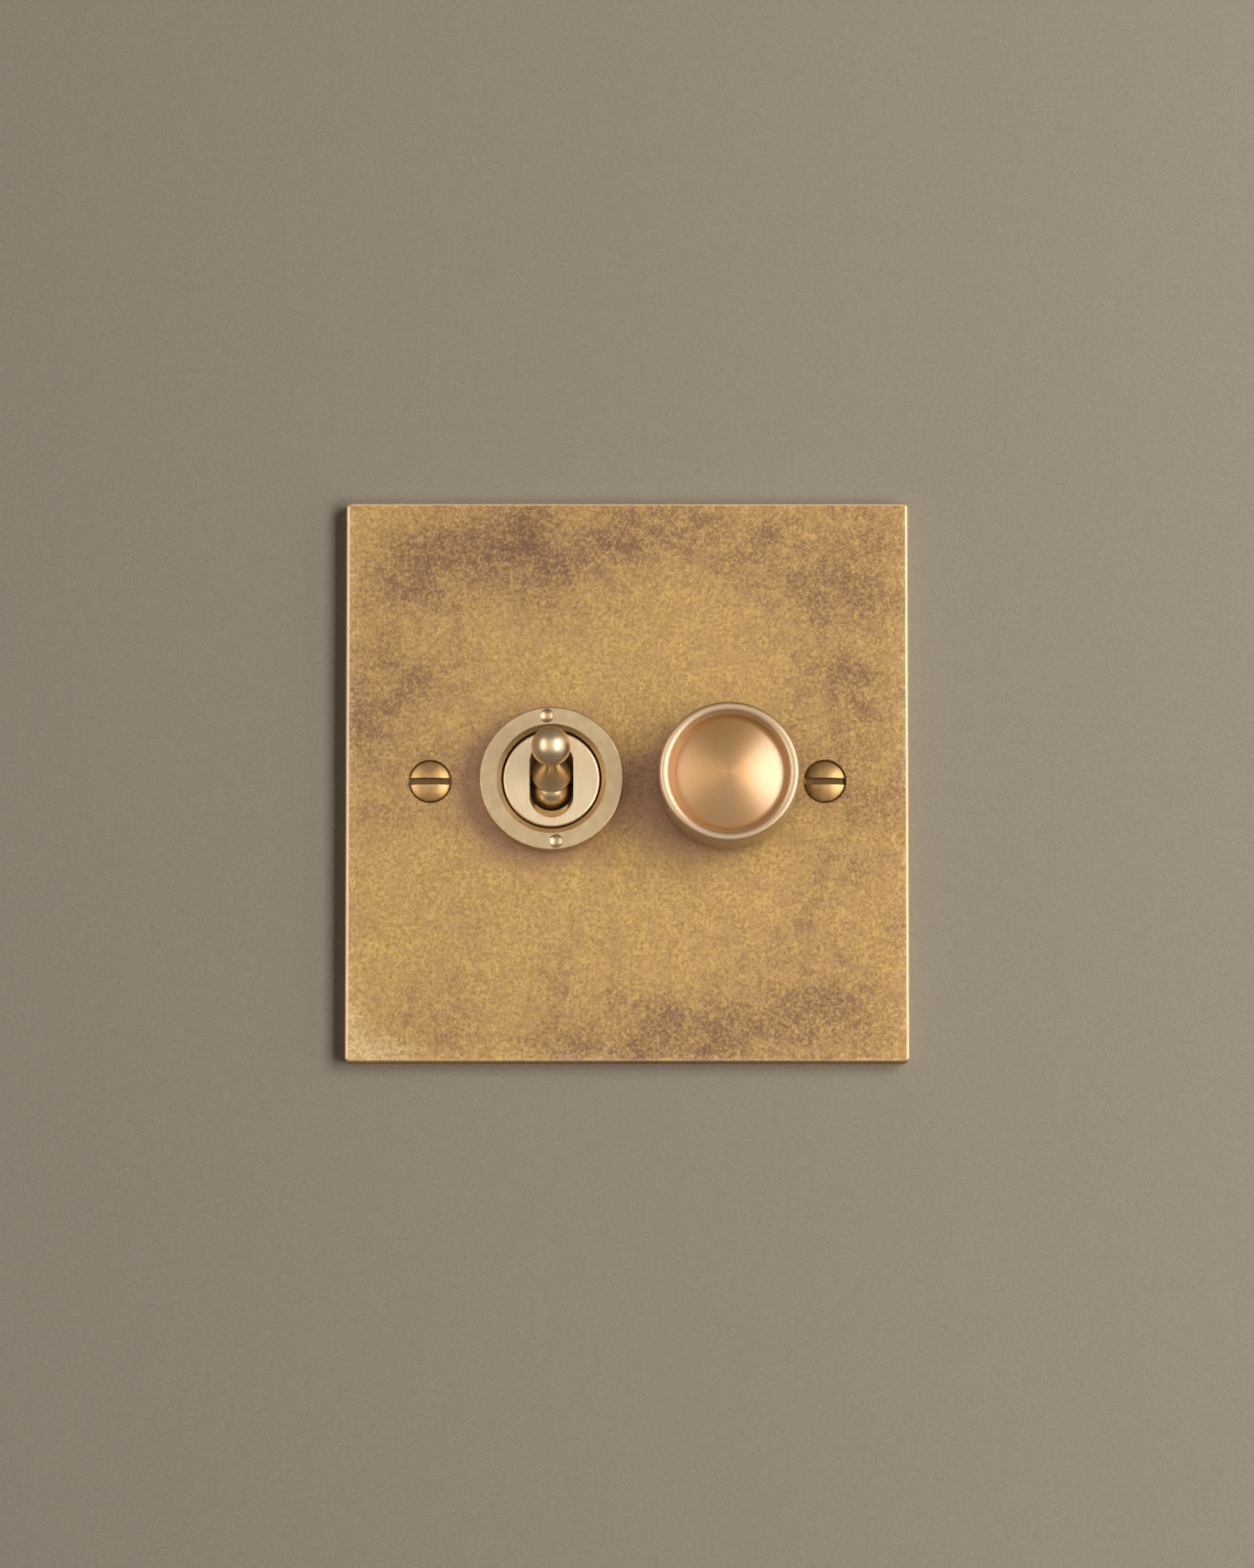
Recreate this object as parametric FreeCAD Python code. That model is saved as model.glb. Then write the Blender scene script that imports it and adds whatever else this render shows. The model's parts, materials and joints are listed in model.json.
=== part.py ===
import FreeCAD, Part
import math
import os
from collections import namedtuple

from FreeCAD import Vector

# A square brass wall plate that carries a dolly switch and a push-on rotary dimmer.
# Lengths are in millimetres. X runs to the right seen from the front, +Z is up, the front
# faces -Y, and the wall that the plate lies against is the plane y = 0.

# Clearances
SEAT_GAP = 0.05
RUNNING_GAP = 0.05
THREAD_GAP = 0.2
MOULD_GAP = 0.15
CONTACT_GAP = 0.15

# Sides of a spring's wire
WIRE_SIDES = 8

# Front plate
PLATE_WIDTH = 86.0
PLATE_HEIGHT = 86.0
PLATE_THICKNESS = 3.0
PLATE_CORNER_RADIUS = 0.9
PLATE_EDGE_ROUND = 0.45
WALL_RIM_WIDTH = 7.0
RELIEF_DEPTH = 0.5
RELIEF_CORNER_RADIUS = 3.0

# Plate screws
SCREW_CENTRES = 60.3
SCREW_RADIUS = 1.75
SCREW_NECK_RADIUS = 1.4
SCREW_HOLE_RADIUS = 2.0
SCREW_THREAD_START = 0.3
SCREW_REACH = 32.0
SCREW_TIP_BEVEL = 0.5
SCREW_HEAD_RADIUS = 3.1
SCREW_HEAD_RISE = 0.8
SCREW_SLOT_WIDTH = 0.8
SCREW_SLOT_DEPTH = 1.1
COUNTERSINK_RADIUS = 3.35

# Ring nut of the dolly switch
TOGGLE_X = -11.56
RING_RADIUS = 10.92
RING_HEIGHT = 4.6
RING_EDGE_ROUND = 0.2
RING_LIP_WIDTH = 0.66
RING_LIP_DEPTH = 0.7
DIMPLE_RADIUS = 1.05
DIMPLE_DEPTH = 0.75
DIMPLE_EDGE_LAND = 0.06
DIMPLE_TURN = 4.2

# Slotted bush of the dolly switch
BUSH_RADIUS = 7.44
BUSH_FACE_RECESS = 0.9
BUSH_BEVEL = 0.55
BUSH_FLANGE_RADIUS = 9.2
BUSH_FLANGE_THICKNESS = 2.0
SLOT_WIDTH = 6.7
SLOT_LENGTH = 9.6
SLOT_MOUTH_FLARE = 1.1
SLOT_FLARE_DEPTH = 1.0

# Dolly, measured along its own axis from the pivot
DOLLY_LEAN = 20.0
PIVOT_DEPTH = 2.7
PIN_RADIUS = 0.8
PIN_LENGTH = 13.6
DOLLY_BARREL_RADIUS = 2.7
DOLLY_BARREL_TAIL = 4.1
DOLLY_COLLAR_RADIUS = 2.93
DOLLY_COLLAR_REACH = 2.2
DOLLY_COLLAR_WIDTH = 0.5
DOLLY_NECK_RADIUS = 1.0
DOLLY_FLARE = 2.4
DOLLY_BALL_RADIUS = 3.0
DOLLY_BALL_REACH = 12.0
DOLLY_ARM_RADIUS = 2.2
DOLLY_ARM_LENGTH = 10.5

# Sprung plunger in the dolly's arm
PLUNGER_RADIUS = 1.4
NOSE_REACH = 12.0
PLUNGER_LENGTH = 5.0
PLUNGER_STEM_RADIUS = 0.6
PLUNGER_STEM_LENGTH = 1.5
BORE_END = 2.2
DOLLY_WIRE_RADIUS = 0.22
DOLLY_COIL_RADIUS = 1.05
DOLLY_COIL_TURNS = 5

# Changeover rocker
ROCKER_TILT = 6.0
ROCKER_WING_ANGLE = 18.0
ROCKER_WING_LENGTH = 9.4
ROCKER_THICKNESS = 1.2
ROCKER_WIDTH = 6.0
ROCKER_VALLEY = 1.6
ROCKER_NOSE_GAP = 0.37
KNUCKLE_RADIUS = 1.5
CRADLE_WALL = 1.1
CRADLE_DROP = 0.3
CRADLE_FLOOR = 1.2
CONTACT_REACH = 7.6
CONTACT_RADIUS = 1.5
CONTACT_RISE = 0.9
POST_RADIUS = 1.8

# Terminal clamps, shared by both modules and the earth
STRIP_THICKNESS = 0.8
TONGUE_WIDTH = 4.4
CAGE_WIDTH = 7.6
CAGE_HEIGHT = 8.0
CAGE_DEPTH = 6.6
CAGE_LIFT = 0.2
CAGE_FRONT_WALL = 1.0
CAGE_REAR_WALL = 1.6
CAGE_WINDOW_HEIGHT = 5.0
CLAMP_RADIUS = 1.5
CLAMP_HEAD_RADIUS = 2.7
CLAMP_HEAD_HEIGHT = 1.8
CLAMP_HEAD_GAP = 0.4
CLAMP_HEAD_RECESS = 0.5
CLAMP_SLOT_WIDTH = 0.7
CLAMP_SLOT_DEPTH = 0.9
POCKET_GAP = 0.2
TERMINAL_PITCH = 12.4

# Moulded base of a module
BASE_FLOOR = 3.0
PLUG_HEIGHT = 1.2
MOULD_CORNER_RADIUS = 1.4
FIXING_RADIUS = 1.2
FIXING_HEAD_RADIUS = 2.2
FIXING_HEAD_HEIGHT = 1.6
FIXING_HEAD_RECESS = 0.4
FIXING_SLOT_WIDTH = 0.6
FIXING_SLOT_DEPTH = 0.8
FIXING_POST_RADIUS = 2.2

# Dolly switch module
SWITCH_WIDTH = 24.0
SWITCH_HEIGHT = 37.0
SWITCH_WALL = 2.0
SWITCH_FRONT_WALL = 2.5
SWITCH_FIXING_X = 8.3
SWITCH_FIXING_Z = 6.2
SWITCH_FIXING_BITE = 6.0

# Knob of the dimmer, heights measured from the plate's front
DIMMER_X = 15.36
KNOB_RADIUS = 10.62
KNOB_HEIGHT = 15.1
KNOB_GAP = 3.0
KNOB_WALL = 1.9
KNOB_FRONT = 3.4
KNOB_RIM_ROUND = 0.6
KNOB_RIM_INNER_RADIUS = 9.15
KNOB_GROOVE_RADIUS = 8.8
KNOB_GROOVE_DEPTH = 2.0
KNOB_DOME_RISE = 1.9
KNOB_BASE_BEVEL = 0.3
INSERT_FLANGE = 2.0
INSERT_LENGTH = 4.4
INSERT_HUB_RADIUS = 4.8

# Spindle, bush and nut of the dimmer
SPINDLE_RADIUS = 3.0
SPINDLE_FLAT = 1.5
SPINDLE_FLAT_LENGTH = 5.0
SPINDLE_TIP_GAP = 0.4
DIMMER_BUSH_RADIUS = 5.0
DIMMER_BUSH_REACH = 5.2
DIMMER_FLANGE_RADIUS = 6.6
DIMMER_FLANGE_THICKNESS = 1.2
WASHER_RADIUS = 7.8
WASHER_THICKNESS = 0.8
NUT_ACROSS_FLATS = 14.0
NUT_THICKNESS = 2.2

# Dimmer module
DIMMER_WIDTH = 21.8
DIMMER_HEIGHT = 44.0
DIMMER_WALL = 1.6
HEAT_SINK_THICKNESS = 1.5
HEAT_TAB_WIDTH = 10.8
HEAT_TAB_REACH = 13.0
DIMMER_FIXING_X = 8.0
DIMMER_FIXING_Z = 18.4
POT_SIZE = 14.0
POT_DEPTH = 7.0
PUSH_SWITCH_SIZE = 12.0
PUSH_SWITCH_DEPTH = 7.0
PUSH_SWITCH_REAR_WALL = 1.0
PUSH_SEAT_GAP = 0.1
SLIDER_RADIUS = 3.35
SLIDER_THICKNESS = 2.0
SLIDER_STEM_RADIUS = 1.2
SLIDER_STEM_LENGTH = 1.4
PUSH_WIRE_RADIUS = 0.25
PUSH_COIL_RADIUS = 2.2
PUSH_COIL_TURNS = 4
BOARD_THICKNESS = 1.6
BOARD_WIDTH = 17.6
BOARD_MARGIN = 1.0
CHOKE_RADIUS = 4.0
CHOKE_CORE_RADIUS = 3.1
CHOKE_LENGTH = 14.0
CHOKE_CHEEK = 1.2
CAPACITOR_WIDTH = 13.0
TRANSISTOR_WIDTH = 10.0
TRANSISTOR_BODY_LENGTH = 7.0
TRANSISTOR_BODY_HEIGHT = 4.4
TRANSISTOR_TAB_LENGTH = 12.4
TRANSISTOR_TAB_HEIGHT = 1.3
TRANSISTOR_SCREW_RADIUS = 1.4
TRANSISTOR_SCREW_HEAD_RADIUS = 2.6
TRANSISTOR_SCREW_HEAD_HEIGHT = 1.6
PART_SPACING = 0.4

# Earth clamp on the plate's back
EARTH_X = -2.0
EARTH_TO_RIM = 7.0

# Planes and stations that several pieces share
FRONT_Y = -PLATE_THICKNESS
SEAT_Y = -RELIEF_DEPTH
RING_FACE_Y = FRONT_Y - RING_HEIGHT
BUSH_FACE_Y = RING_FACE_Y + BUSH_FACE_RECESS
RING_BORE_RADIUS = BUSH_RADIUS + THREAD_GAP
FLANGE_FRONT_Y = SEAT_Y + SWITCH_FRONT_WALL
FLANGE_BACK_Y = FLANGE_FRONT_Y + BUSH_FLANGE_THICKNESS
PIVOT_Y = BUSH_FACE_Y + PIVOT_DEPTH
ORIGIN = Vector(0, 0, 0)
X_AXIS = Vector(1, 0, 0)
Y_AXIS = Vector(0, 1, 0)
Z_AXIS = Vector(0, 0, 1)

LEAN = math.radians(DOLLY_LEAN)
WING = math.radians(ROCKER_WING_ANGLE)
TILT = math.radians(ROCKER_TILT)


def rocker_depth():
    """Distance from the dolly's pivot to the rocker's axis that leaves the nose its gap at rest."""
    lower_wing = WING - TILT
    standoff = PLUNGER_RADIUS + ROCKER_NOSE_GAP + ROCKER_VALLEY * math.cos(WING)
    sideways = NOSE_REACH * math.sin(LEAN) * math.sin(lower_wing)
    return (standoff + sideways) / math.cos(lower_wing) + NOSE_REACH * math.cos(LEAN)


ROCKER_Y = PIVOT_Y + rocker_depth()
SWITCH_BASE_Y = ROCKER_Y + KNUCKLE_RADIUS + RUNNING_GAP + CRADLE_FLOOR

EARTH_Z = EARTH_TO_RIM + WALL_RIM_WIDTH - PLATE_HEIGHT / 2
SINK_BACK_Y = SEAT_Y + HEAT_SINK_THICKNESS
POT_FRONT_Y = SINK_BACK_Y + DIMMER_FLANGE_THICKNESS
PUSH_FRONT_Y = POT_FRONT_Y + POT_DEPTH
BOARD_FRONT_Y = PUSH_FRONT_Y + PUSH_SWITCH_DEPTH
DIMMER_BASE_Y = BOARD_FRONT_Y + BOARD_THICKNESS
KNOB_BASE_Y = FRONT_Y - KNOB_GAP
KNOB_FRONT_Y = FRONT_Y - KNOB_HEIGHT
KNOB_CAVITY_RADIUS = KNOB_RADIUS - KNOB_WALL
KNOB_CAVITY_Y = KNOB_FRONT_Y + KNOB_FRONT
SPINDLE_BACK_Y = PUSH_FRONT_Y + PUSH_SEAT_GAP

# Terminal clamp planes, measured from the floor of its pocket
TONGUE_BACK = CAGE_LIFT + CAGE_DEPTH - CAGE_REAR_WALL - POCKET_GAP
CLAMP_HEAD_START = CAGE_LIFT + CAGE_DEPTH + CLAMP_HEAD_GAP
POCKET_DEPTH = CLAMP_HEAD_START + CLAMP_HEAD_HEIGHT + CLAMP_HEAD_RECESS
RISER_FRONT = CAGE_WIDTH / 2 + POCKET_GAP
RISER_BACK = RISER_FRONT + STRIP_THICKNESS

# A module is a moulded box behind the plate. Its wires enter on wire_side, -1 left or +1 right.
Module = namedtuple("Module", "x width height wall base_y wire_side fixings fixing_end_y")

SWITCH = Module(
    TOGGLE_X, SWITCH_WIDTH, SWITCH_HEIGHT, SWITCH_WALL, SWITCH_BASE_Y, -1,
    ((SWITCH_FIXING_X, SWITCH_FIXING_Z), (-SWITCH_FIXING_X, -SWITCH_FIXING_Z)),
    SWITCH_BASE_Y - SWITCH_FIXING_BITE,
)
DIMMER = Module(
    DIMMER_X, DIMMER_WIDTH, DIMMER_HEIGHT, DIMMER_WALL, DIMMER_BASE_Y, 1,
    ((DIMMER_FIXING_X, DIMMER_FIXING_Z), (-DIMMER_FIXING_X, -DIMMER_FIXING_Z)),
    SEAT_Y,
)
TERMINAL_ZS = (-TERMINAL_PITCH, 0.0, TERMINAL_PITCH)


# Shape helpers

def block(x0, x1, y0, y1, z0, z1):
    return Part.makeBox(x1 - x0, y1 - y0, z1 - z0, Vector(x0, y0, z0))


def centred_block(width, height, y0, y1, x=0.0, z=0.0):
    return block(x - width / 2, x + width / 2, y0, y1, z - height / 2, z + height / 2)


def rod_y(radius, y0, y1, x=0.0, z=0.0):
    return Part.makeCylinder(radius, y1 - y0, Vector(x, y0, z), Y_AXIS)


def rod_x(radius, x0, x1, y, z=0.0):
    return Part.makeCylinder(radius, x1 - x0, Vector(x0, y, z), X_AXIS)


def rod_z(radius, z0, z1, x, y):
    return Part.makeCylinder(radius, z1 - z0, Vector(x, y, z0), Z_AXIS)


def fused(*shapes):
    return shapes[0].multiFuse(list(shapes[1:])).removeSplitter()


def group(shapes):
    return Part.makeCompound(list(shapes))


def round_depth_edges(shape, radius):
    """Rounds the edges that run from front to back."""
    edges = [e for e in shape.Edges if abs(e.tangentAt(e.FirstParameter).y) > 0.999]
    return shape.makeFillet(radius, edges)


def line(start, end):
    return Part.makeLine(Vector(*start, 0), Vector(*end, 0))


def arc(start, middle, end):
    return Part.Arc(Vector(*start, 0), Vector(*middle, 0), Vector(*end, 0)).toShape()


def bezier(*poles):
    curve = Part.BezierCurve()
    curve.setPoles([Vector(*pole, 0) for pole in poles])
    return curve.toShape()


def path(*points):
    return [line(a, b) for a, b in zip(points, points[1:])]


def corner_arc(start, corner, end):
    """Arc that rounds the corner between two points at equal distances from it."""
    pull = math.sqrt(0.5)
    middle = [c + (1 - pull) * (s - c + e - c) for s, c, e in zip(start, corner, end)]
    return arc(start, middle, end)


def dome_arc(radius, crown_y, rim_y):
    """Arc of a spherical cap from its crown on the axis to its rim."""
    rise = abs(rim_y - crown_y)
    sphere = (radius ** 2 + rise ** 2) / (2 * rise)
    half = math.asin(radius / sphere) / 2
    side = math.copysign(1.0, rim_y - crown_y)
    middle = (sphere * math.sin(half), crown_y + side * sphere * (1 - math.cos(half)))
    return arc((0.0, crown_y), middle, (radius, rim_y))


def turned(edges, x=0.0):
    """Revolves a profile of (radius, y) edges about the front-to-back axis at x."""
    profile = Part.Face(Part.Wire(Part.__sortEdges__(edges)))
    return profile.revolve(ORIGIN, Y_AXIS, 360).translated(Vector(x, 0, 0))


def obround_wire(width, length, y):
    """Upright slot outline with round ends."""
    r = width / 2
    straight = length / 2 - r
    lower_left = Vector(-r, y, -straight)
    lower_right = Vector(r, y, -straight)
    upper_left = Vector(-r, y, straight)
    upper_right = Vector(r, y, straight)
    return Part.Wire([
        Part.makeLine(lower_right, upper_right),
        Part.Arc(upper_right, Vector(0, y, length / 2), upper_left).toShape(),
        Part.makeLine(upper_left, lower_left),
        Part.Arc(lower_left, Vector(0, y, -length / 2), lower_right).toShape(),
    ])


def coil_spring(coil_radius, wire_radius, y0, y1, turns):
    """Compression spring between two planes, with a many-sided wire so that its faces stay few."""
    height = y1 - y0 - 2 * (wire_radius + SEAT_GAP)
    helix = Part.makeHelix(height / turns, height, coil_radius)
    angles = [2 * math.pi * side / WIRE_SIDES for side in range(WIRE_SIDES + 1)]
    section = Part.makePolygon([
        Vector(coil_radius + wire_radius * math.cos(a), 0, wire_radius * math.sin(a)) for a in angles
    ])
    coil = Part.Wire(helix.Edges).makePipeShell([section], True, True)
    upright = coil.rotated(ORIGIN, X_AXIS, -90)
    return upright.translated(Vector(0, y0 + wire_radius + SEAT_GAP, 0))


def slotted_screw(radius, tip_y, head_y, head_radius, head_height, slot_width, slot_depth):
    """Cheese-headed screw on the front-to-back axis, with its head to the rear."""
    end_y = head_y + head_height
    screw = fused(rod_y(radius, tip_y, head_y), rod_y(head_radius, head_y, end_y))
    return screw.cut(centred_block(2 * head_radius, slot_width, end_y - slot_depth, end_y))


def module_block(module, u0, u1, y0, y1, z0, z1):
    """Block in a module, where u runs from its middle towards the wires' side."""
    xs = sorted((module.x + module.wire_side * u0, module.x + module.wire_side * u1))
    return block(xs[0], xs[1], y0, y1, z0, z1)


# Plate and its screws

def screw_hole(x):
    mouth = Part.makeCone(
        COUNTERSINK_RADIUS, SCREW_HOLE_RADIUS, COUNTERSINK_RADIUS - SCREW_HOLE_RADIUS,
        Vector(x, FRONT_Y, 0), Y_AXIS,
    )
    return fused(mouth, rod_y(SCREW_HOLE_RADIUS, FRONT_Y, 0.0, x))


def front_plate():
    plate = round_depth_edges(centred_block(PLATE_WIDTH, PLATE_HEIGHT, FRONT_Y, 0.0), PLATE_CORNER_RADIUS)
    front = [e for e in plate.Edges if e.BoundBox.YMax < FRONT_Y / 2]
    plate = plate.makeFillet(PLATE_EDGE_ROUND, front)
    relief_width = PLATE_WIDTH - 2 * WALL_RIM_WIDTH
    relief_height = PLATE_HEIGHT - 2 * WALL_RIM_WIDTH
    relief = centred_block(relief_width, relief_height, SEAT_Y, 0.0)
    plate = plate.cut(round_depth_edges(relief, RELIEF_CORNER_RADIUS))
    for side in (-1, 1):
        plate = plate.cut(screw_hole(side * SCREW_CENTRES / 2))
    plate = plate.cut(rod_y(RING_BORE_RADIUS, FRONT_Y, 0.0, TOGGLE_X))
    return plate.cut(rod_y(DIMMER_BUSH_RADIUS + THREAD_GAP, FRONT_Y, 0.0, DIMMER_X))


def plate_screw(x):
    rim_y = FRONT_Y + COUNTERSINK_RADIUS - SCREW_HEAD_RADIUS - SEAT_GAP * math.sqrt(2)
    crown_y = rim_y - SCREW_HEAD_RISE
    neck_y = rim_y + SCREW_HEAD_RADIUS - SCREW_NECK_RADIUS
    outline = path(
        (SCREW_HEAD_RADIUS, rim_y),
        (SCREW_NECK_RADIUS, neck_y),
        (SCREW_NECK_RADIUS, SCREW_THREAD_START),
        (SCREW_RADIUS, SCREW_THREAD_START),
        (SCREW_RADIUS, SCREW_REACH - SCREW_TIP_BEVEL),
        (SCREW_RADIUS - SCREW_TIP_BEVEL, SCREW_REACH),
        (0.0, SCREW_REACH),
        (0.0, crown_y),
    )
    screw = turned([dome_arc(SCREW_HEAD_RADIUS, crown_y, rim_y)] + outline)
    slot = centred_block(2 * SCREW_HEAD_RADIUS, SCREW_SLOT_WIDTH, crown_y, crown_y + SCREW_SLOT_DEPTH)
    return screw.cut(slot).translated(Vector(x, 0, 0))


def plate_screws():
    return group(plate_screw(side * SCREW_CENTRES / 2) for side in (-1, 1))


# Dolly switch, front pieces

def spanner_dimple(angle):
    """Spot-drilled cone near the ring's edge, turned from the top."""
    pitch_radius = RING_RADIUS - RING_EDGE_ROUND - DIMPLE_EDGE_LAND - DIMPLE_RADIUS
    dimple = Part.makeCone(DIMPLE_RADIUS, 0.0, DIMPLE_DEPTH, Vector(0, RING_FACE_Y, pitch_radius), Y_AXIS)
    return dimple.rotated(ORIGIN, Y_AXIS, angle).translated(Vector(TOGGLE_X, 0, 0))


def ring_nut():
    lip_radius = RING_BORE_RADIUS + RING_LIP_WIDTH
    lip_y = RING_FACE_Y + RING_LIP_DEPTH
    edge_y = RING_FACE_Y + RING_EDGE_ROUND
    edge_radius = RING_RADIUS - RING_EDGE_ROUND
    outline = path((lip_radius, RING_FACE_Y), (edge_radius, RING_FACE_Y))
    outline.append(corner_arc((edge_radius, RING_FACE_Y), (RING_RADIUS, RING_FACE_Y), (RING_RADIUS, edge_y)))
    outline += path(
        (RING_RADIUS, edge_y),
        (RING_RADIUS, FRONT_Y),
        (RING_BORE_RADIUS, FRONT_Y),
        (RING_BORE_RADIUS, lip_y),
    )
    outline.append(corner_arc(
        (RING_BORE_RADIUS, lip_y), (RING_BORE_RADIUS, RING_FACE_Y), (lip_radius, RING_FACE_Y),
    ))
    ring = turned(outline, TOGGLE_X)
    return ring.cut([spanner_dimple(half_turn - DIMPLE_TURN) for half_turn in (0, 180)])


def toggle_bush():
    bush = turned(path(
        (0.0, BUSH_FACE_Y),
        (BUSH_RADIUS - BUSH_BEVEL, BUSH_FACE_Y),
        (BUSH_RADIUS, BUSH_FACE_Y + BUSH_BEVEL),
        (BUSH_RADIUS, FLANGE_FRONT_Y),
        (BUSH_FLANGE_RADIUS, FLANGE_FRONT_Y),
        (BUSH_FLANGE_RADIUS, FLANGE_BACK_Y),
        (0.0, FLANGE_BACK_Y),
        (0.0, BUSH_FACE_Y),
    ))
    depth = FLANGE_BACK_Y - BUSH_FACE_Y
    throat = Part.Face(obround_wire(SLOT_WIDTH, SLOT_LENGTH, BUSH_FACE_Y)).extrude(Vector(0, depth, 0))
    mouth = Part.makeLoft([
        obround_wire(SLOT_WIDTH, SLOT_LENGTH + 2 * SLOT_MOUTH_FLARE, BUSH_FACE_Y),
        obround_wire(SLOT_WIDTH, SLOT_LENGTH, BUSH_FACE_Y + SLOT_FLARE_DEPTH),
    ], True, True)
    arm_swing = (FLANGE_BACK_Y - PIVOT_Y) * math.tan(LEAN) + DOLLY_ARM_RADIUS / math.cos(LEAN)
    rear_y = PIVOT_Y + DOLLY_BARREL_RADIUS
    rear = centred_block(SLOT_WIDTH, 2 * (arm_swing + POCKET_GAP), rear_y, FLANGE_BACK_Y)
    pin_hole = rod_x(PIN_RADIUS + SEAT_GAP / 2, -BUSH_RADIUS, BUSH_RADIUS, PIVOT_Y)
    return bush.cut([throat, mouth, rear, pin_hole]).translated(Vector(TOGGLE_X, 0, 0))


def dolly_pin():
    return rod_x(PIN_RADIUS, TOGGLE_X - PIN_LENGTH / 2, TOGGLE_X + PIN_LENGTH / 2, PIVOT_Y)


def leaning(shape):
    """Places a piece made along the dolly's own axis, tip to -Y and pivot at the origin."""
    return shape.rotated(ORIGIN, X_AXIS, -DOLLY_LEAN).translated(Vector(TOGGLE_X, PIVOT_Y, 0))


def dolly_stem():
    """Hollow flare from the collar's front edge to the thin neck, then the ball of the tip."""
    joint = DOLLY_BALL_REACH - math.sqrt(DOLLY_BALL_RADIUS ** 2 - DOLLY_NECK_RADIUS ** 2)
    return [
        bezier(
            (DOLLY_COLLAR_RADIUS, -DOLLY_COLLAR_REACH),
            (DOLLY_NECK_RADIUS, -DOLLY_COLLAR_REACH - 0.3 * DOLLY_FLARE),
            (DOLLY_NECK_RADIUS, -DOLLY_COLLAR_REACH - DOLLY_FLARE),
            (DOLLY_NECK_RADIUS, -joint),
        ),
        arc(
            (DOLLY_NECK_RADIUS, -joint),
            (DOLLY_BALL_RADIUS, -DOLLY_BALL_REACH),
            (0.0, -DOLLY_BALL_REACH - DOLLY_BALL_RADIUS),
        ),
    ]


def dolly():
    tail_step = DOLLY_BARREL_RADIUS - DOLLY_ARM_RADIUS
    collar_back = DOLLY_COLLAR_WIDTH - DOLLY_COLLAR_REACH
    collar_step = DOLLY_COLLAR_RADIUS - DOLLY_BARREL_RADIUS
    outline = path(
        (0.0, -DOLLY_BALL_REACH - DOLLY_BALL_RADIUS),
        (0.0, DOLLY_ARM_LENGTH),
        (DOLLY_ARM_RADIUS, DOLLY_ARM_LENGTH),
        (DOLLY_ARM_RADIUS, DOLLY_BARREL_TAIL + tail_step),
        (DOLLY_BARREL_RADIUS, DOLLY_BARREL_TAIL),
        (DOLLY_BARREL_RADIUS, collar_back + collar_step),
        (DOLLY_COLLAR_RADIUS, collar_back),
        (DOLLY_COLLAR_RADIUS, -DOLLY_COLLAR_REACH),
    )
    lever = turned(outline + dolly_stem())
    bore = rod_y(PLUNGER_RADIUS + RUNNING_GAP, BORE_END, DOLLY_ARM_LENGTH)
    pin_hole = rod_x(PIN_RADIUS + RUNNING_GAP, -DOLLY_BARREL_RADIUS, DOLLY_BARREL_RADIUS, 0.0)
    return leaning(lever.cut([bore, pin_hole]))


def plunger():
    shoulder = NOSE_REACH - PLUNGER_LENGTH
    stem_end = shoulder - PLUNGER_STEM_LENGTH
    outline = path(
        (PLUNGER_RADIUS, NOSE_REACH),
        (PLUNGER_RADIUS, shoulder),
        (PLUNGER_STEM_RADIUS, shoulder),
        (PLUNGER_STEM_RADIUS, stem_end),
        (0.0, stem_end),
        (0.0, NOSE_REACH + PLUNGER_RADIUS),
    )
    outline.append(dome_arc(PLUNGER_RADIUS, NOSE_REACH + PLUNGER_RADIUS, NOSE_REACH))
    return leaning(turned(outline))


def dolly_spring():
    shoulder = NOSE_REACH - PLUNGER_LENGTH
    return leaning(coil_spring(DOLLY_COIL_RADIUS, DOLLY_WIRE_RADIUS, BORE_END, shoulder, DOLLY_COIL_TURNS))


# Changeover rocker and its contacts, made level and then tilted to rest

def tilted(shape):
    return shape.rotated(Vector(TOGGLE_X, ROCKER_Y, 0), X_AXIS, ROCKER_TILT)


def wing_point(along, behind, side):
    """Point on a level wing: along it from the valley, and behind its front face."""
    y = ROCKER_Y - ROCKER_VALLEY - along * math.sin(WING) + behind * math.cos(WING)
    z = along * math.cos(WING) + behind * math.sin(WING)
    return Vector(TOGGLE_X, y, side * z)


def rocker():
    back_valley = Vector(TOGGLE_X, ROCKER_Y - ROCKER_VALLEY + ROCKER_THICKNESS / math.cos(WING), 0)
    corners = [
        wing_point(0.0, 0.0, 1),
        wing_point(ROCKER_WING_LENGTH, 0.0, 1),
        wing_point(ROCKER_WING_LENGTH, ROCKER_THICKNESS, 1),
        back_valley,
        wing_point(ROCKER_WING_LENGTH, ROCKER_THICKNESS, -1),
        wing_point(ROCKER_WING_LENGTH, 0.0, -1),
    ]
    section = Part.Face(Part.makePolygon(corners + corners[:1]))
    wings = section.extrude(Vector(ROCKER_WIDTH, 0, 0)).translated(Vector(-ROCKER_WIDTH / 2, 0, 0))
    knuckle = rod_x(KNUCKLE_RADIUS, TOGGLE_X - ROCKER_WIDTH / 2, TOGGLE_X + ROCKER_WIDTH / 2, ROCKER_Y)
    return tilted(fused(wings, knuckle))


def rocker_contact(side):
    outline = path((CONTACT_RADIUS, 0.0), (0.0, 0.0), (0.0, CONTACT_RISE))
    rivet = turned(outline + [dome_arc(CONTACT_RADIUS, CONTACT_RISE, 0.0)])
    rivet = rivet.rotated(ORIGIN, X_AXIS, side * ROCKER_WING_ANGLE)
    return rivet.translated(wing_point(CONTACT_REACH, ROCKER_THICKNESS, side))


def rocker_contacts():
    return tilted(group(rocker_contact(side) for side in (1, -1)))


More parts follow.
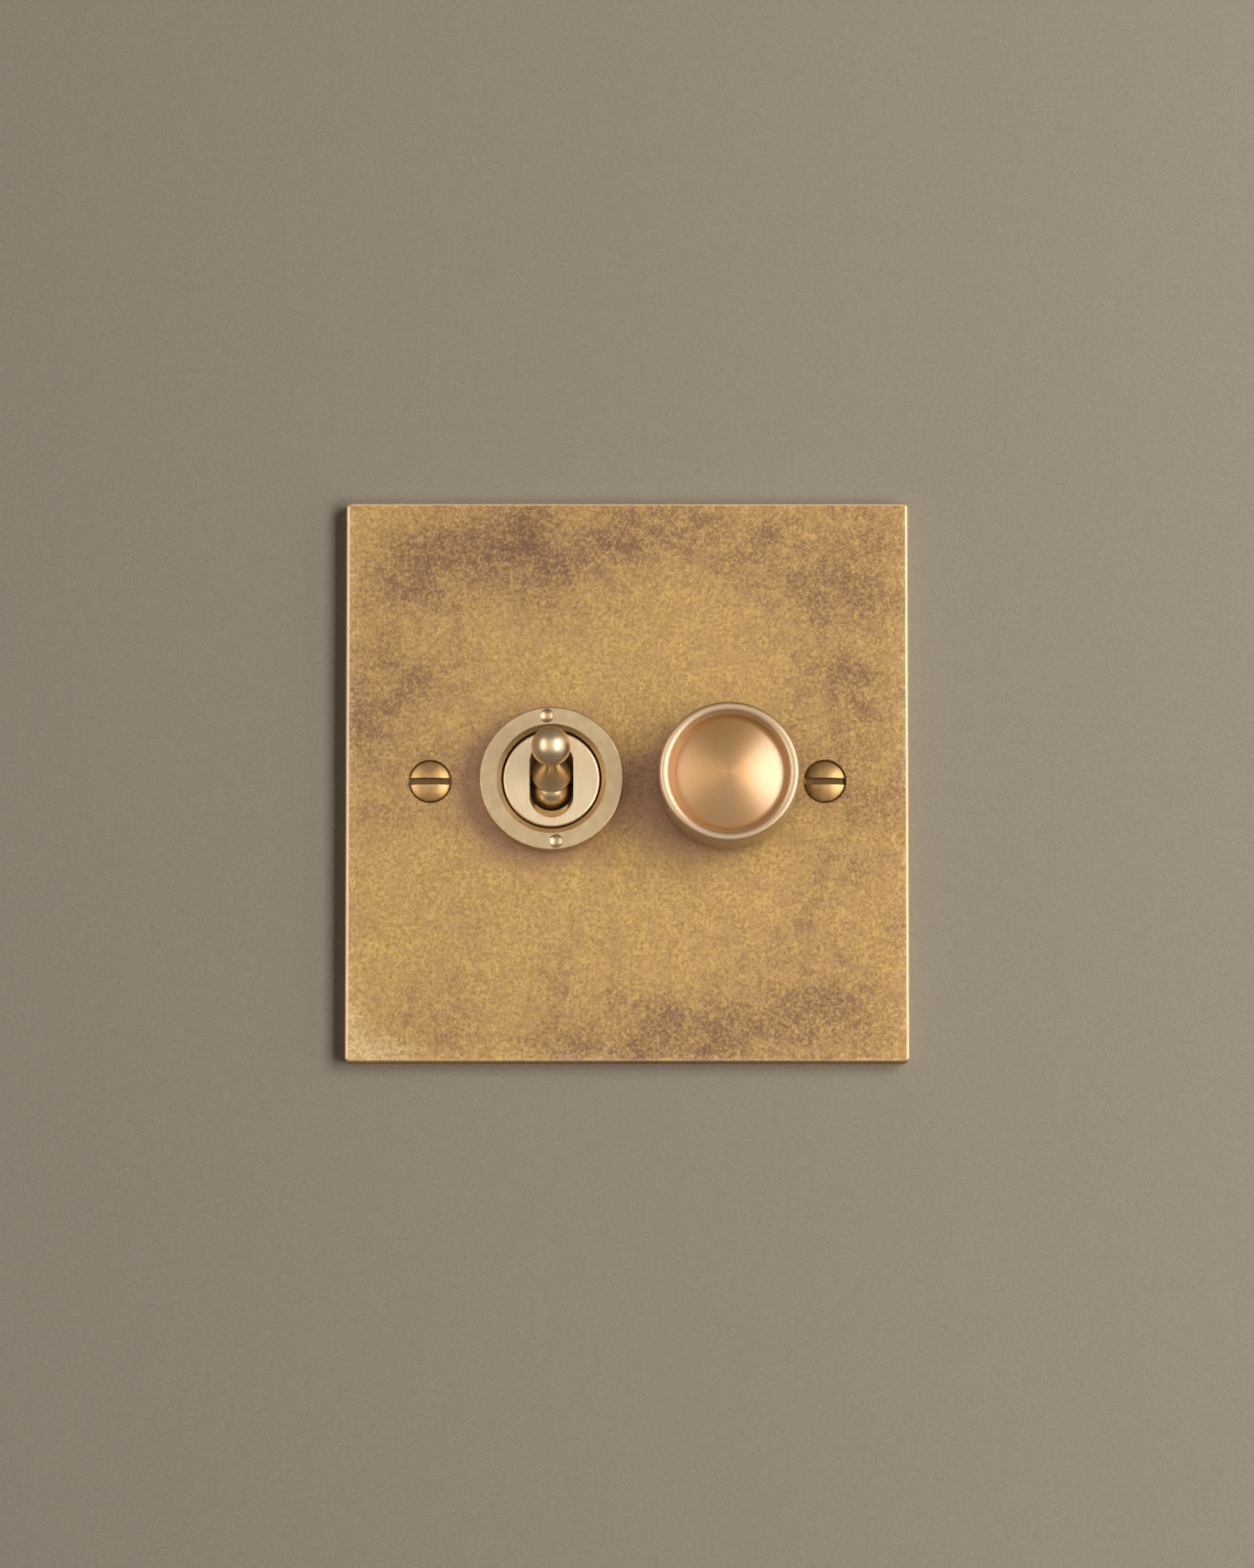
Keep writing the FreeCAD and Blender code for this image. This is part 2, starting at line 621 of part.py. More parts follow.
def closed_contact():
    """Plane and height of a fixed post, just clear of the dome that closes on it."""
    sphere = (CONTACT_RADIUS ** 2 + CONTACT_RISE ** 2) / (2 * CONTACT_RISE)
    centre = wing_point(CONTACT_REACH, ROCKER_THICKNESS + CONTACT_RISE - sphere, -1)
    y = centre.y - ROCKER_Y
    lowered_y = y * math.cos(TILT) - centre.z * math.sin(TILT)
    lowered_z = y * math.sin(TILT) + centre.z * math.cos(TILT)
    return ROCKER_Y + lowered_y + sphere + CONTACT_GAP, abs(lowered_z)


def fixed_contacts():
    face_y, height = closed_contact()
    strip_y = SWITCH_BASE_Y - STRIP_THICKNESS
    return group(rod_y(POST_RADIUS, face_y, strip_y, TOGGLE_X, side * height) for side in (1, -1))


# Terminal clamps

def bent_tongue(module, z, start_y):
    """Riser through the floor of the base that bends into the cage."""
    back_y = module.base_y + BASE_FLOOR + TONGUE_BACK
    half = TONGUE_WIDTH / 2
    riser = module_block(module, -RISER_BACK, -RISER_FRONT, start_y, back_y, z - half, z + half)
    tongue = module_block(module, -RISER_BACK, half, back_y - STRIP_THICKNESS, back_y, z - half, z + half)
    return fused(riser, tongue)


def terminal_strip(module, z, foot_y, foot_low, foot_high):
    """Strip that lies on the base and ends in its terminal's tongue."""
    foot = module_block(
        module, -RISER_BACK, TONGUE_WIDTH / 2, foot_y - STRIP_THICKNESS, foot_y, foot_low, foot_high,
    )
    return fused(foot, bent_tongue(module, z, foot_y - STRIP_THICKNESS))


def terminal_cage(x, y, z):
    window_y = y + CAGE_FRONT_WALL
    back_y = y + CAGE_DEPTH
    cage = centred_block(CAGE_WIDTH, CAGE_HEIGHT, y, back_y, x, z)
    window = centred_block(CAGE_WIDTH, CAGE_WINDOW_HEIGHT, window_y, back_y - CAGE_REAR_WALL, x, z)
    return cage.cut([window, rod_y(CLAMP_RADIUS + RUNNING_GAP, window_y, back_y, x, z)])


def clamp_screw(x, y, z):
    """Clamping screw of the cage whose front is at y."""
    tip_y = y - CAGE_LIFT + TONGUE_BACK + SEAT_GAP
    head_y = y - CAGE_LIFT + CLAMP_HEAD_START
    screw = slotted_screw(
        CLAMP_RADIUS, tip_y, head_y, CLAMP_HEAD_RADIUS, CLAMP_HEAD_HEIGHT, CLAMP_SLOT_WIDTH, CLAMP_SLOT_DEPTH,
    )
    return screw.translated(Vector(x, 0, z))


def module_clamps(module, piece):
    """One cage or screw in each pocket of a module."""
    cage_y = module.base_y + BASE_FLOOR + CAGE_LIFT
    return group(piece(module.x, cage_y, z) for z in TERMINAL_ZS)


# Moulded base of a module

def module_rear_y(module):
    return module.base_y + BASE_FLOOR + POCKET_DEPTH


def fixing_screws(module):
    head_y = module_rear_y(module) - FIXING_HEAD_RECESS - FIXING_HEAD_HEIGHT
    screw = slotted_screw(
        FIXING_RADIUS, module.fixing_end_y, head_y, FIXING_HEAD_RADIUS, FIXING_HEAD_HEIGHT,
        FIXING_SLOT_WIDTH, FIXING_SLOT_DEPTH,
    )
    return group(screw.translated(Vector(module.x + x, 0, z)) for x, z in module.fixings)


def fixing_hole(module, x, z, start_y):
    rear_y = module_rear_y(module)
    head_y = rear_y - FIXING_HEAD_RECESS - FIXING_HEAD_HEIGHT
    return fused(
        rod_y(FIXING_RADIUS + RUNNING_GAP, start_y, rear_y, module.x + x, z),
        rod_y(FIXING_HEAD_RADIUS + POCKET_GAP, head_y, rear_y, module.x + x, z),
    )


def terminal_pocket(module, z):
    """Pocket of a cage with its wire entry and the slot for the tongue's riser."""
    floor_y = module.base_y + BASE_FLOOR
    rear_y = module_rear_y(module)
    half = CAGE_HEIGHT / 2 + POCKET_GAP
    near = CAGE_WIDTH / 2 + POCKET_GAP
    far = RISER_BACK + POCKET_GAP
    entry_y = floor_y + CAGE_LIFT + CAGE_FRONT_WALL
    tongue_half = TONGUE_WIDTH / 2 + POCKET_GAP
    pocket = module_block(module, -far, near, floor_y, rear_y, z - half, z + half)
    entry = module_block(
        module, 0.0, module.width / 2, entry_y, floor_y + TONGUE_BACK,
        z - CAGE_WINDOW_HEIGHT / 2, z + CAGE_WINDOW_HEIGHT / 2,
    )
    riser = module_block(
        module, -far, POCKET_GAP - RISER_FRONT, module.base_y, floor_y, z - tongue_half, z + tongue_half,
    )
    return fused(pocket, entry, riser)


def terminal_base(module):
    step_y = module.base_y + PLUG_HEIGHT
    inset = 2 * (module.wall + MOULD_GAP)
    plug = centred_block(module.width - inset, module.height - inset, module.base_y, step_y, module.x)
    body = centred_block(module.width, module.height, step_y, module_rear_y(module), module.x)
    base = fused(plug, round_depth_edges(body, MOULD_CORNER_RADIUS))
    base = base.cut([terminal_pocket(module, z) for z in TERMINAL_ZS])
    return base.cut([fixing_hole(module, x, z, module.base_y) for x, z in module.fixings])


def module_sleeve(module, front_y, front_wall, post_y):
    """Moulded box open to the rear, with posts on its walls for the fixing screws."""
    back_y = module.base_y + PLUG_HEIGHT
    outside = centred_block(module.width, module.height, front_y, back_y, module.x)
    inner_width = module.width - 2 * module.wall
    inner_height = module.height - 2 * module.wall
    inside = centred_block(inner_width, inner_height, front_y + front_wall, back_y, module.x)
    sleeve = round_depth_edges(outside, MOULD_CORNER_RADIUS).cut(inside)
    for x, z in module.fixings:
        side = math.copysign(1.0, x)
        wall_x = module.x + side * (module.width / 2 - module.wall / 2)
        web = sorted((module.x + x, wall_x))
        post = fused(
            rod_y(FIXING_POST_RADIUS, post_y, module.base_y, module.x + x, z),
            block(*web, post_y, module.base_y, z - FIXING_POST_RADIUS, z + FIXING_POST_RADIUS),
        )
        sleeve = fused(sleeve, post)
        sleeve = sleeve.cut(rod_y(FIXING_RADIUS + RUNNING_GAP, module.fixing_end_y, back_y, module.x + x, z))
    return sleeve


# Dolly switch module

def switch_body():
    body = module_sleeve(SWITCH, SEAT_Y, SWITCH_FRONT_WALL, FLANGE_BACK_Y + PART_SPACING)
    return body.cut(rod_y(RING_BORE_RADIUS, SEAT_Y, FLANGE_FRONT_Y, TOGGLE_X))


def contact_strip(side):
    height = closed_contact()[1]
    z = side * TERMINAL_PITCH
    ends = sorted((side * (height - POST_RADIUS), z + side * TONGUE_WIDTH / 2))
    return terminal_strip(SWITCH, z, SWITCH_BASE_Y, *ends)


def common_bracket():
    half = KNUCKLE_RADIUS + RUNNING_GAP + CRADLE_WALL
    cradle = centred_block(
        TONGUE_WIDTH, 2 * half, ROCKER_Y + CRADLE_DROP, SWITCH_BASE_Y, TOGGLE_X,
    )
    strip = terminal_strip(SWITCH, 0.0, SWITCH_BASE_Y, -half, half)
    groove = rod_x(
        KNUCKLE_RADIUS + RUNNING_GAP, TOGGLE_X - TONGUE_WIDTH, TOGGLE_X + TONGUE_WIDTH, ROCKER_Y,
    )
    return fused(cradle, strip).cut(groove)


# Dimmer, turning and pushing pieces

def dimmer_knob():
    bevel = KNOB_BASE_BEVEL
    edge_y = KNOB_FRONT_Y + KNOB_RIM_ROUND
    crest_radius = KNOB_RADIUS - KNOB_RIM_ROUND
    groove_y = KNOB_FRONT_Y + KNOB_GROOVE_DEPTH
    roll = crest_radius - KNOB_RIM_INNER_RADIUS
    outline = path(
        (0.0, groove_y - KNOB_DOME_RISE),
        (0.0, KNOB_CAVITY_Y),
        (KNOB_CAVITY_RADIUS, KNOB_CAVITY_Y),
        (KNOB_CAVITY_RADIUS, KNOB_BASE_Y),
        (KNOB_RADIUS - bevel, KNOB_BASE_Y),
        (KNOB_RADIUS, KNOB_BASE_Y - bevel),
        (KNOB_RADIUS, edge_y),
    )
    outline.append(corner_arc(
        (KNOB_RADIUS, edge_y), (KNOB_RADIUS, KNOB_FRONT_Y), (crest_radius, KNOB_FRONT_Y),
    ))
    outline.append(corner_arc(
        (crest_radius, KNOB_FRONT_Y), (KNOB_RIM_INNER_RADIUS, KNOB_FRONT_Y),
        (KNOB_RIM_INNER_RADIUS, KNOB_FRONT_Y + roll),
    ))
    outline += path(
        (KNOB_RIM_INNER_RADIUS, KNOB_FRONT_Y + roll),
        (KNOB_RIM_INNER_RADIUS, groove_y),
        (KNOB_GROOVE_RADIUS, groove_y),
    )
    outline.append(dome_arc(KNOB_GROOVE_RADIUS, groove_y - KNOB_DOME_RISE, groove_y))
    return turned(outline, DIMMER_X)


def spindle_section(gap, y0, y1):
    """Round shaft with the flat that turns the knob, grown by a gap."""
    reach = SPINDLE_RADIUS + gap
    flat = block(-reach, reach, y0, y1, SPINDLE_FLAT + gap, reach)
    return rod_y(reach, y0, y1).cut(flat).translated(Vector(DIMMER_X, 0, 0))


def knob_insert():
    seat_radius = KNOB_CAVITY_RADIUS - SEAT_GAP
    back_y = KNOB_CAVITY_Y + INSERT_LENGTH
    hub = fused(
        rod_y(seat_radius, KNOB_CAVITY_Y, KNOB_CAVITY_Y + INSERT_FLANGE, DIMMER_X),
        rod_y(INSERT_HUB_RADIUS, KNOB_CAVITY_Y, back_y, DIMMER_X),
    )
    return hub.cut(spindle_section(SEAT_GAP, KNOB_CAVITY_Y, back_y))


def spindle():
    tip_y = KNOB_CAVITY_Y + SPINDLE_TIP_GAP
    flat_y = tip_y + SPINDLE_FLAT_LENGTH
    return fused(spindle_section(0.0, tip_y, flat_y), rod_y(SPINDLE_RADIUS, flat_y, SPINDLE_BACK_Y, DIMMER_X))


def push_slider():
    face_y = SPINDLE_BACK_Y + PUSH_SEAT_GAP
    back_y = face_y + SLIDER_THICKNESS
    return fused(
        rod_y(SLIDER_RADIUS, face_y, back_y, DIMMER_X),
        rod_y(SLIDER_STEM_RADIUS, back_y, back_y + SLIDER_STEM_LENGTH, DIMMER_X),
    )


def push_spring():
    slider_back = SPINDLE_BACK_Y + PUSH_SEAT_GAP + SLIDER_THICKNESS
    cavity_end = BOARD_FRONT_Y - PUSH_SWITCH_REAR_WALL
    spring = coil_spring(PUSH_COIL_RADIUS, PUSH_WIRE_RADIUS, slider_back, cavity_end, PUSH_COIL_TURNS)
    return spring.translated(Vector(DIMMER_X, 0, 0))


# Dimmer, pieces that clamp it to the plate

def dimmer_bush():
    bush = fused(
        rod_y(DIMMER_BUSH_RADIUS, FRONT_Y - DIMMER_BUSH_REACH, SINK_BACK_Y, DIMMER_X),
        rod_y(DIMMER_FLANGE_RADIUS, SINK_BACK_Y, POT_FRONT_Y, DIMMER_X),
    )
    return bush.cut(rod_y(SPINDLE_RADIUS + RUNNING_GAP, FRONT_Y - DIMMER_BUSH_REACH, POT_FRONT_Y, DIMMER_X))


def dimmer_washer():
    washer = rod_y(WASHER_RADIUS, FRONT_Y - WASHER_THICKNESS, FRONT_Y, DIMMER_X)
    return washer.cut(rod_y(DIMMER_BUSH_RADIUS + THREAD_GAP, FRONT_Y - WASHER_THICKNESS, FRONT_Y, DIMMER_X))


def dimmer_nut():
    back_y = FRONT_Y - WASHER_THICKNESS
    front_y = back_y - NUT_THICKNESS
    corner = NUT_ACROSS_FLATS / 2 / math.cos(math.pi / 6)
    angles = [math.radians(60 * step) for step in range(7)]
    outline = Part.makePolygon([
        Vector(DIMMER_X + corner * math.cos(a), front_y, corner * math.sin(a)) for a in angles
    ])
    nut = Part.Face(outline).extrude(Vector(0, NUT_THICKNESS, 0))
    return nut.cut(rod_y(DIMMER_BUSH_RADIUS + THREAD_GAP, front_y, back_y, DIMMER_X))


# Dimmer module

def heat_tab_face_z():
    """Underside of the heat sink's bent tab."""
    return DIMMER_HEIGHT / 2 - DIMMER_WALL - PART_SPACING - HEAT_SINK_THICKNESS


def transistor_screw_y():
    """Middle of the transistor's bare tab."""
    return SINK_BACK_Y + HEAT_TAB_REACH - (TRANSISTOR_TAB_LENGTH + TRANSISTOR_BODY_LENGTH) / 2


def transistor_screw_hole(z0, z1):
    return rod_z(TRANSISTOR_SCREW_RADIUS + RUNNING_GAP, z0, z1, DIMMER_X, transistor_screw_y())


def heat_sink():
    plate = round_depth_edges(
        centred_block(DIMMER_WIDTH, DIMMER_HEIGHT, SEAT_Y, SINK_BACK_Y, DIMMER_X), MOULD_CORNER_RADIUS,
    )
    face_z = heat_tab_face_z()
    tab = block(
        DIMMER_X - HEAT_TAB_WIDTH / 2, DIMMER_X + HEAT_TAB_WIDTH / 2,
        SEAT_Y, SINK_BACK_Y + HEAT_TAB_REACH, face_z, face_z + HEAT_SINK_THICKNESS,
    )
    holes = [rod_y(DIMMER_BUSH_RADIUS + THREAD_GAP, SEAT_Y, SINK_BACK_Y, DIMMER_X)]
    for x, z in DIMMER.fixings:
        holes.append(rod_y(FIXING_RADIUS + RUNNING_GAP, SEAT_Y, SINK_BACK_Y, DIMMER_X + x, z))
    holes.append(transistor_screw_hole(face_z, face_z + HEAT_SINK_THICKNESS))
    return fused(plate, tab).cut(holes)


def dimmer_case():
    return module_sleeve(DIMMER, SINK_BACK_Y, 0.0, SINK_BACK_Y)


def potentiometer():
    body = centred_block(POT_SIZE, POT_SIZE, POT_FRONT_Y, PUSH_FRONT_Y, DIMMER_X)
    return body.cut(rod_y(SPINDLE_RADIUS + RUNNING_GAP, POT_FRONT_Y, PUSH_FRONT_Y, DIMMER_X))


def push_switch():
    body = centred_block(PUSH_SWITCH_SIZE, PUSH_SWITCH_SIZE, PUSH_FRONT_Y, BOARD_FRONT_Y, DIMMER_X)
    cavity_end = BOARD_FRONT_Y - PUSH_SWITCH_REAR_WALL
    return body.cut(rod_y(SLIDER_RADIUS + RUNNING_GAP, PUSH_FRONT_Y, cavity_end, DIMMER_X))


def circuit_board():
    half = TONGUE_WIDTH / 2 + POCKET_GAP
    height = 2 * (TERMINAL_PITCH + half + BOARD_MARGIN)
    board = centred_block(BOARD_WIDTH, height, BOARD_FRONT_Y, DIMMER_BASE_Y, DIMMER_X)
    slots = [
        module_block(
            DIMMER, -RISER_BACK - POCKET_GAP, POCKET_GAP - RISER_FRONT,
            BOARD_FRONT_Y, DIMMER_BASE_Y, z - half, z + half,
        )
        for z in TERMINAL_ZS
    ]
    return board.cut(slots)


def dimmer_tongues():
    """Tongues soldered through the board."""
    return group(bent_tongue(DIMMER, z, BOARD_FRONT_Y) for z in TERMINAL_ZS)


def choke():
    """Wound drum core that lies on the board below the potentiometer."""
    z = -POT_SIZE / 2 - PART_SPACING - CHOKE_RADIUS
    y = BOARD_FRONT_Y - CHOKE_RADIUS
    start = DIMMER_X - CHOKE_LENGTH / 2
    end = DIMMER_X + CHOKE_LENGTH / 2
    return fused(
        rod_x(CHOKE_CORE_RADIUS, start, end, y, z),
        rod_x(CHOKE_RADIUS, start, start + CHOKE_CHEEK, y, z),
        rod_x(CHOKE_RADIUS, end - CHOKE_CHEEK, end, y, z),
    )


def capacitor():
    """Film capacitor that fills the board between the potentiometer and the transistor."""
    left = DIMMER_X - CAPACITOR_WIDTH / 2
    right = DIMMER_X + CAPACITOR_WIDTH / 2
    bottom_z = POT_SIZE / 2 + PART_SPACING
    top_z = heat_tab_face_z() - TRANSISTOR_BODY_HEIGHT - PART_SPACING
    return block(left, right, PUSH_FRONT_Y + PART_SPACING, BOARD_FRONT_Y, bottom_z, top_z)


def power_transistor():
    top_z = heat_tab_face_z()
    back_y = SINK_BACK_Y + HEAT_TAB_REACH
    tab_y = back_y - TRANSISTOR_TAB_LENGTH
    left = DIMMER_X - TRANSISTOR_WIDTH / 2
    right = DIMMER_X + TRANSISTOR_WIDTH / 2
    body = block(left, right, back_y - TRANSISTOR_BODY_LENGTH, back_y, top_z - TRANSISTOR_BODY_HEIGHT, top_z)
    tab = block(left, right, tab_y, back_y, top_z - TRANSISTOR_TAB_HEIGHT, top_z)
    return fused(body, tab).cut(transistor_screw_hole(top_z - TRANSISTOR_TAB_HEIGHT, top_z))


def transistor_screw():
    head_z = heat_tab_face_z() - TRANSISTOR_TAB_HEIGHT
    end_z = heat_tab_face_z() + HEAT_SINK_THICKNESS
    y = transistor_screw_y()
    return fused(
        rod_z(TRANSISTOR_SCREW_RADIUS, head_z, end_z, DIMMER_X, y),
        rod_z(TRANSISTOR_SCREW_HEAD_RADIUS, head_z - TRANSISTOR_SCREW_HEAD_HEIGHT, head_z, DIMMER_X, y),
    )


PARTS = {
    "front_plate": front_plate(),
    "plate_screws": plate_screws(),
    "earth_terminal": terminal_cage(EARTH_X, SEAT_Y, EARTH_Z),
    "earth_screw": clamp_screw(EARTH_X, SEAT_Y, EARTH_Z),
    "ring_nut": ring_nut(),
    "toggle_bush": toggle_bush(),
    "dolly": dolly(),
    "dolly_pin": dolly_pin(),
    "plunger": plunger(),
    "dolly_spring": dolly_spring(),
    "rocker": rocker(),
    "rocker_contacts": rocker_contacts(),
    "common_bracket": common_bracket(),
    "upper_contact": contact_strip(1),
    "lower_contact": contact_strip(-1),
    "fixed_contacts": fixed_contacts(),
    "switch_body": switch_body(),
    "switch_base": terminal_base(SWITCH),
    "base_screws": fixing_screws(SWITCH),
    "switch_terminal_cages": module_clamps(SWITCH, terminal_cage),
    "switch_terminal_screws": module_clamps(SWITCH, clamp_screw),
    "dimmer_knob": dimmer_knob(),
    "knob_insert": knob_insert(),
    "spindle": spindle(),
    "push_slider": push_slider(),
    "push_spring": push_spring(),
    "dimmer_bush": dimmer_bush(),
    "dimmer_washer": dimmer_washer(),
    "dimmer_nut": dimmer_nut(),
    "heat_sink": heat_sink(),
    "dimmer_case": dimmer_case(),
    "dimmer_rear_cover": terminal_base(DIMMER),
    "case_screws": fixing_screws(DIMMER),
    "potentiometer": potentiometer(),
    "push_switch": push_switch(),
    "circuit_board": circuit_board(),
    "dimmer_tongues": dimmer_tongues(),
    "choke": choke(),
    "capacitor": capacitor(),
    "power_transistor": power_transistor(),
    "transistor_screw": transistor_screw(),
    "dimmer_terminal_cages": module_clamps(DIMMER, terminal_cage),
    "dimmer_terminal_screws": module_clamps(DIMMER, clamp_screw),
}

os.makedirs("parts", exist_ok=True)
for name, shape in PARTS.items():
    shape.exportStep(f"parts/{name}.step")
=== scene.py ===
import json
import math

import bmesh
import bpy
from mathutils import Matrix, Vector

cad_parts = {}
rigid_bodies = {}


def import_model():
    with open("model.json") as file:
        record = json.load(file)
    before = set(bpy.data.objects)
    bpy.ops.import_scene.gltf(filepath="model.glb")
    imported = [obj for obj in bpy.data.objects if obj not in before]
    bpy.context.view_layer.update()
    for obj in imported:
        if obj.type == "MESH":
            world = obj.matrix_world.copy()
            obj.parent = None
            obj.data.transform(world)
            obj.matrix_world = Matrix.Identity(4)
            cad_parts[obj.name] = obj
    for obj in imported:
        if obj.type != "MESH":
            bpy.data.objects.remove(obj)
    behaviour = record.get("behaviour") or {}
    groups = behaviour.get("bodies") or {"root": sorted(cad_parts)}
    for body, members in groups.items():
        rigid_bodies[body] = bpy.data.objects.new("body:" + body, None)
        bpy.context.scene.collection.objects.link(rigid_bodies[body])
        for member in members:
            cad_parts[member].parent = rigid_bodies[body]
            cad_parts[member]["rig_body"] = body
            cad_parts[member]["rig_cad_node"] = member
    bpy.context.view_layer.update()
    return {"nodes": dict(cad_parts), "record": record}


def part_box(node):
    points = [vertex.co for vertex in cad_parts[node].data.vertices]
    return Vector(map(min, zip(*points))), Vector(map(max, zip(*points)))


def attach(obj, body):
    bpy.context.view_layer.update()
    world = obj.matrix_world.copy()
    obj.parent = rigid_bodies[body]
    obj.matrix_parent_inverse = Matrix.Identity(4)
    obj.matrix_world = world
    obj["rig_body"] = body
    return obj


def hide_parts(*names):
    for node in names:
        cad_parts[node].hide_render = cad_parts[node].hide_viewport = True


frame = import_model()

# Dresses a square brass wall plate that carries a dolly switch and a rotary dimmer.
# Lengths are in metres in the frame of the solids: X runs right, +Z is up, the front faces -Y.

MM = 0.001
BACK = Vector((0, 1, 0))
SIDE = Vector((1, 0, 0))


def middle_of(node):
    low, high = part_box(node)
    return (low + high) / 2


# Plate
PLATE_LOW, PLATE_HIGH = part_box("front_plate")
PLATE_CORNER = 0.9 * MM
PLATE_EDGE = 0.45 * MM
RIM_WIDTH = 7.0 * MM
RELIEF_DEPTH = 0.5 * MM
RELIEF_CORNER = 3.0 * MM
COUNTERSINK_RADIUS = 3.35 * MM
SCREW_HOLE_RADIUS = 2.0 * MM
DIMMER_HOLE_RADIUS = 5.2 * MM

# Plate screws
SCREWS_LOW, SCREWS_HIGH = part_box("plate_screws")
SCREW_HEAD_RADIUS = (SCREWS_HIGH.z - SCREWS_LOW.z) / 2
SCREW_RISE = 0.8 * MM
SCREW_NECK_RADIUS = 1.4 * MM
SCREW_RADIUS = 1.75 * MM
SCREW_ROOT_RADIUS = 1.45 * MM
SCREW_THREAD_START = 0.3 * MM
SCREW_PITCH = 0.6 * MM
SCREW_TIP = 0.5 * MM
SCREW_SLOT_WIDTH = 1.0 * MM
SCREW_SLOT_DEPTH = 1.1 * MM
SCREW_SLOT_HALF_LENGTH = 1.2 * SCREW_HEAD_RADIUS
SCREW_EDGE = 0.07 * MM
THREAD_HALF_FOOT = 0.46 * SCREW_PITCH
THREAD_HALF_CREST = 0.1 * SCREW_PITCH
THREAD_SINK = 0.125 * MM

# Ring nut and bush of the dolly switch
RING_LOW, RING_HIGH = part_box("ring_nut")
RING_RADIUS = (RING_HIGH.x - RING_LOW.x) / 2
RING_BORE_RADIUS = 7.64 * MM
RING_LIP_WIDTH = 0.72 * MM
RING_LIP_DEPTH = 0.6 * MM
RING_EDGE = 0.2 * MM
DIMPLE_RADIUS = 1.05 * MM
DIMPLE_DEPTH = 0.75 * MM
DIMPLE_PITCH_RADIUS = 9.61 * MM
DIMPLE_TURN = math.radians(4.2)
BUSH_LOW, BUSH_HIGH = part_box("toggle_bush")
BUSH_RADIUS = 7.44 * MM
BUSH_BEVEL = 0.45 * MM
BUSH_FLANGE_RADIUS = (BUSH_HIGH.x - BUSH_LOW.x) / 2
BUSH_FLANGE = 2.0 * MM
SLOT_WIDTH = 6.7 * MM
SLOT_LENGTH = 9.6 * MM
SLOT_FLARE = 1.1 * MM
SLOT_FLARE_DEPTH = 1.0 * MM
SLOT_REAR_WIDTH = 6.8 * MM
SLOT_REAR_LENGTH = 12.2 * MM
SLOT_REAR_DEPTH = 3.0 * MM

# Dolly, measured along its own axis from the pivot towards the tip
DOLLY_PIVOT = middle_of("dolly_pin")
DOLLY_LEAN = math.radians(20.0)
DOLLY_AXIS = Vector((0, -math.cos(DOLLY_LEAN), math.sin(DOLLY_LEAN)))
DOLLY_UP = SIDE.cross(DOLLY_AXIS)
DOLLY_BALL_RADIUS = 2.99 * MM
DOLLY_BALL_REACH = 12.0 * MM
DOLLY_NECK_RADIUS = 1.0 * MM
DOLLY_NECK_JOINT = DOLLY_BALL_REACH - math.sqrt(DOLLY_BALL_RADIUS ** 2 - DOLLY_NECK_RADIUS ** 2)
DOLLY_CONE = 3.0 * MM
DOLLY_CONE_EASE = 0.2
DOLLY_COLLAR_RADIUS = 2.93 * MM
DOLLY_COLLAR_REACH = 2.2 * MM
DOLLY_COLLAR_WIDTH = 0.5 * MM
DOLLY_COLLAR_EDGE = 0.07 * MM
DOLLY_BARREL_RADIUS = 2.7 * MM
DOLLY_BARREL_TAIL = -4.1 * MM
HUB_RADIUS = 3.1 * MM
HUB_HALF_WIDTH = 2.75 * MM
HUB_OFFSET = 1.2 * MM
HUB_SETBACK = 0.6 * MM
HUB_REAR = -1.9 * MM
DOLLY_ARM_RADIUS = 2.2 * MM
DOLLY_ARM_END = -10.5 * MM
DOLLY_BORE_RADIUS = 1.45 * MM
DOLLY_BORE_END = -2.2 * MM

# Dimmer knob
KNOB_LOW, KNOB_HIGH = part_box("dimmer_knob")
KNOB_RADIUS = (KNOB_HIGH.x - KNOB_LOW.x) / 2
KNOB_RIM_ROUND = 0.6 * MM
KNOB_RIM_INNER_RADIUS = 9.15 * MM
KNOB_RIM_ROLL = 0.5 * MM
KNOB_GROOVE_RADIUS = 8.95 * MM
KNOB_FACE_SETBACK = 0.1 * MM
KNOB_FACE_SLOPE = 0.365
KNOB_FACE_ROUND = 4.3 * MM
KNOB_BASE_BEVEL = 0.3 * MM
KNOB_CAVITY_RADIUS = 8.72 * MM
KNOB_FRONT = 3.4 * MM

# Picture
VIEW_ELEVATION = math.radians(-5.8)
VIEW_DISTANCE = 1.2
VIEW_HEIGHT = 239.4 * MM
VIEW_AIM_DROP = 0.40 * MM
VIEW_AIM_LEFT = 0.06 * MM
SENSOR = 36.0

# Modelling: how finely round forms are divided, then small distances and angles
TURN_STEPS = 128
HOLE_STEPS = 96
HUB_STEPS = 96
SCREW_STEPS = 64
SLOT_STEPS = 64
DIMPLE_STEPS = 48
THREAD_STEPS = 32
HUB_ROUND_STEPS = 16
KNOB_ROUND_STEPS = 8
CORNER_STEPS = 8
PLATE_EDGE_STEPS = 6
EASED_STEPS = 2
OVERSHOOT = 1.0 * MM
MERGE_DISTANCE = 0.002 * MM
SOLID_MERGE_DISTANCE = MERGE_DISTANCE / 4
HAIR = 0.001 * MM
SHARP_ANGLE = math.radians(40)
SMOOTH_ANGLE = math.radians(35)
FLAT_ANGLE = math.radians(0.5)


# Modelling helpers

def deselect():
    bpy.ops.object.select_all(action="DESELECT")


def activate(piece):
    deselect()
    piece.select_set(True)
    bpy.context.view_layer.objects.active = piece


def edit(piece):
    activate(piece)
    bpy.ops.object.mode_set(mode="EDIT")
    bpy.ops.mesh.select_mode(type="VERT")
    bpy.ops.mesh.select_all(action="SELECT")


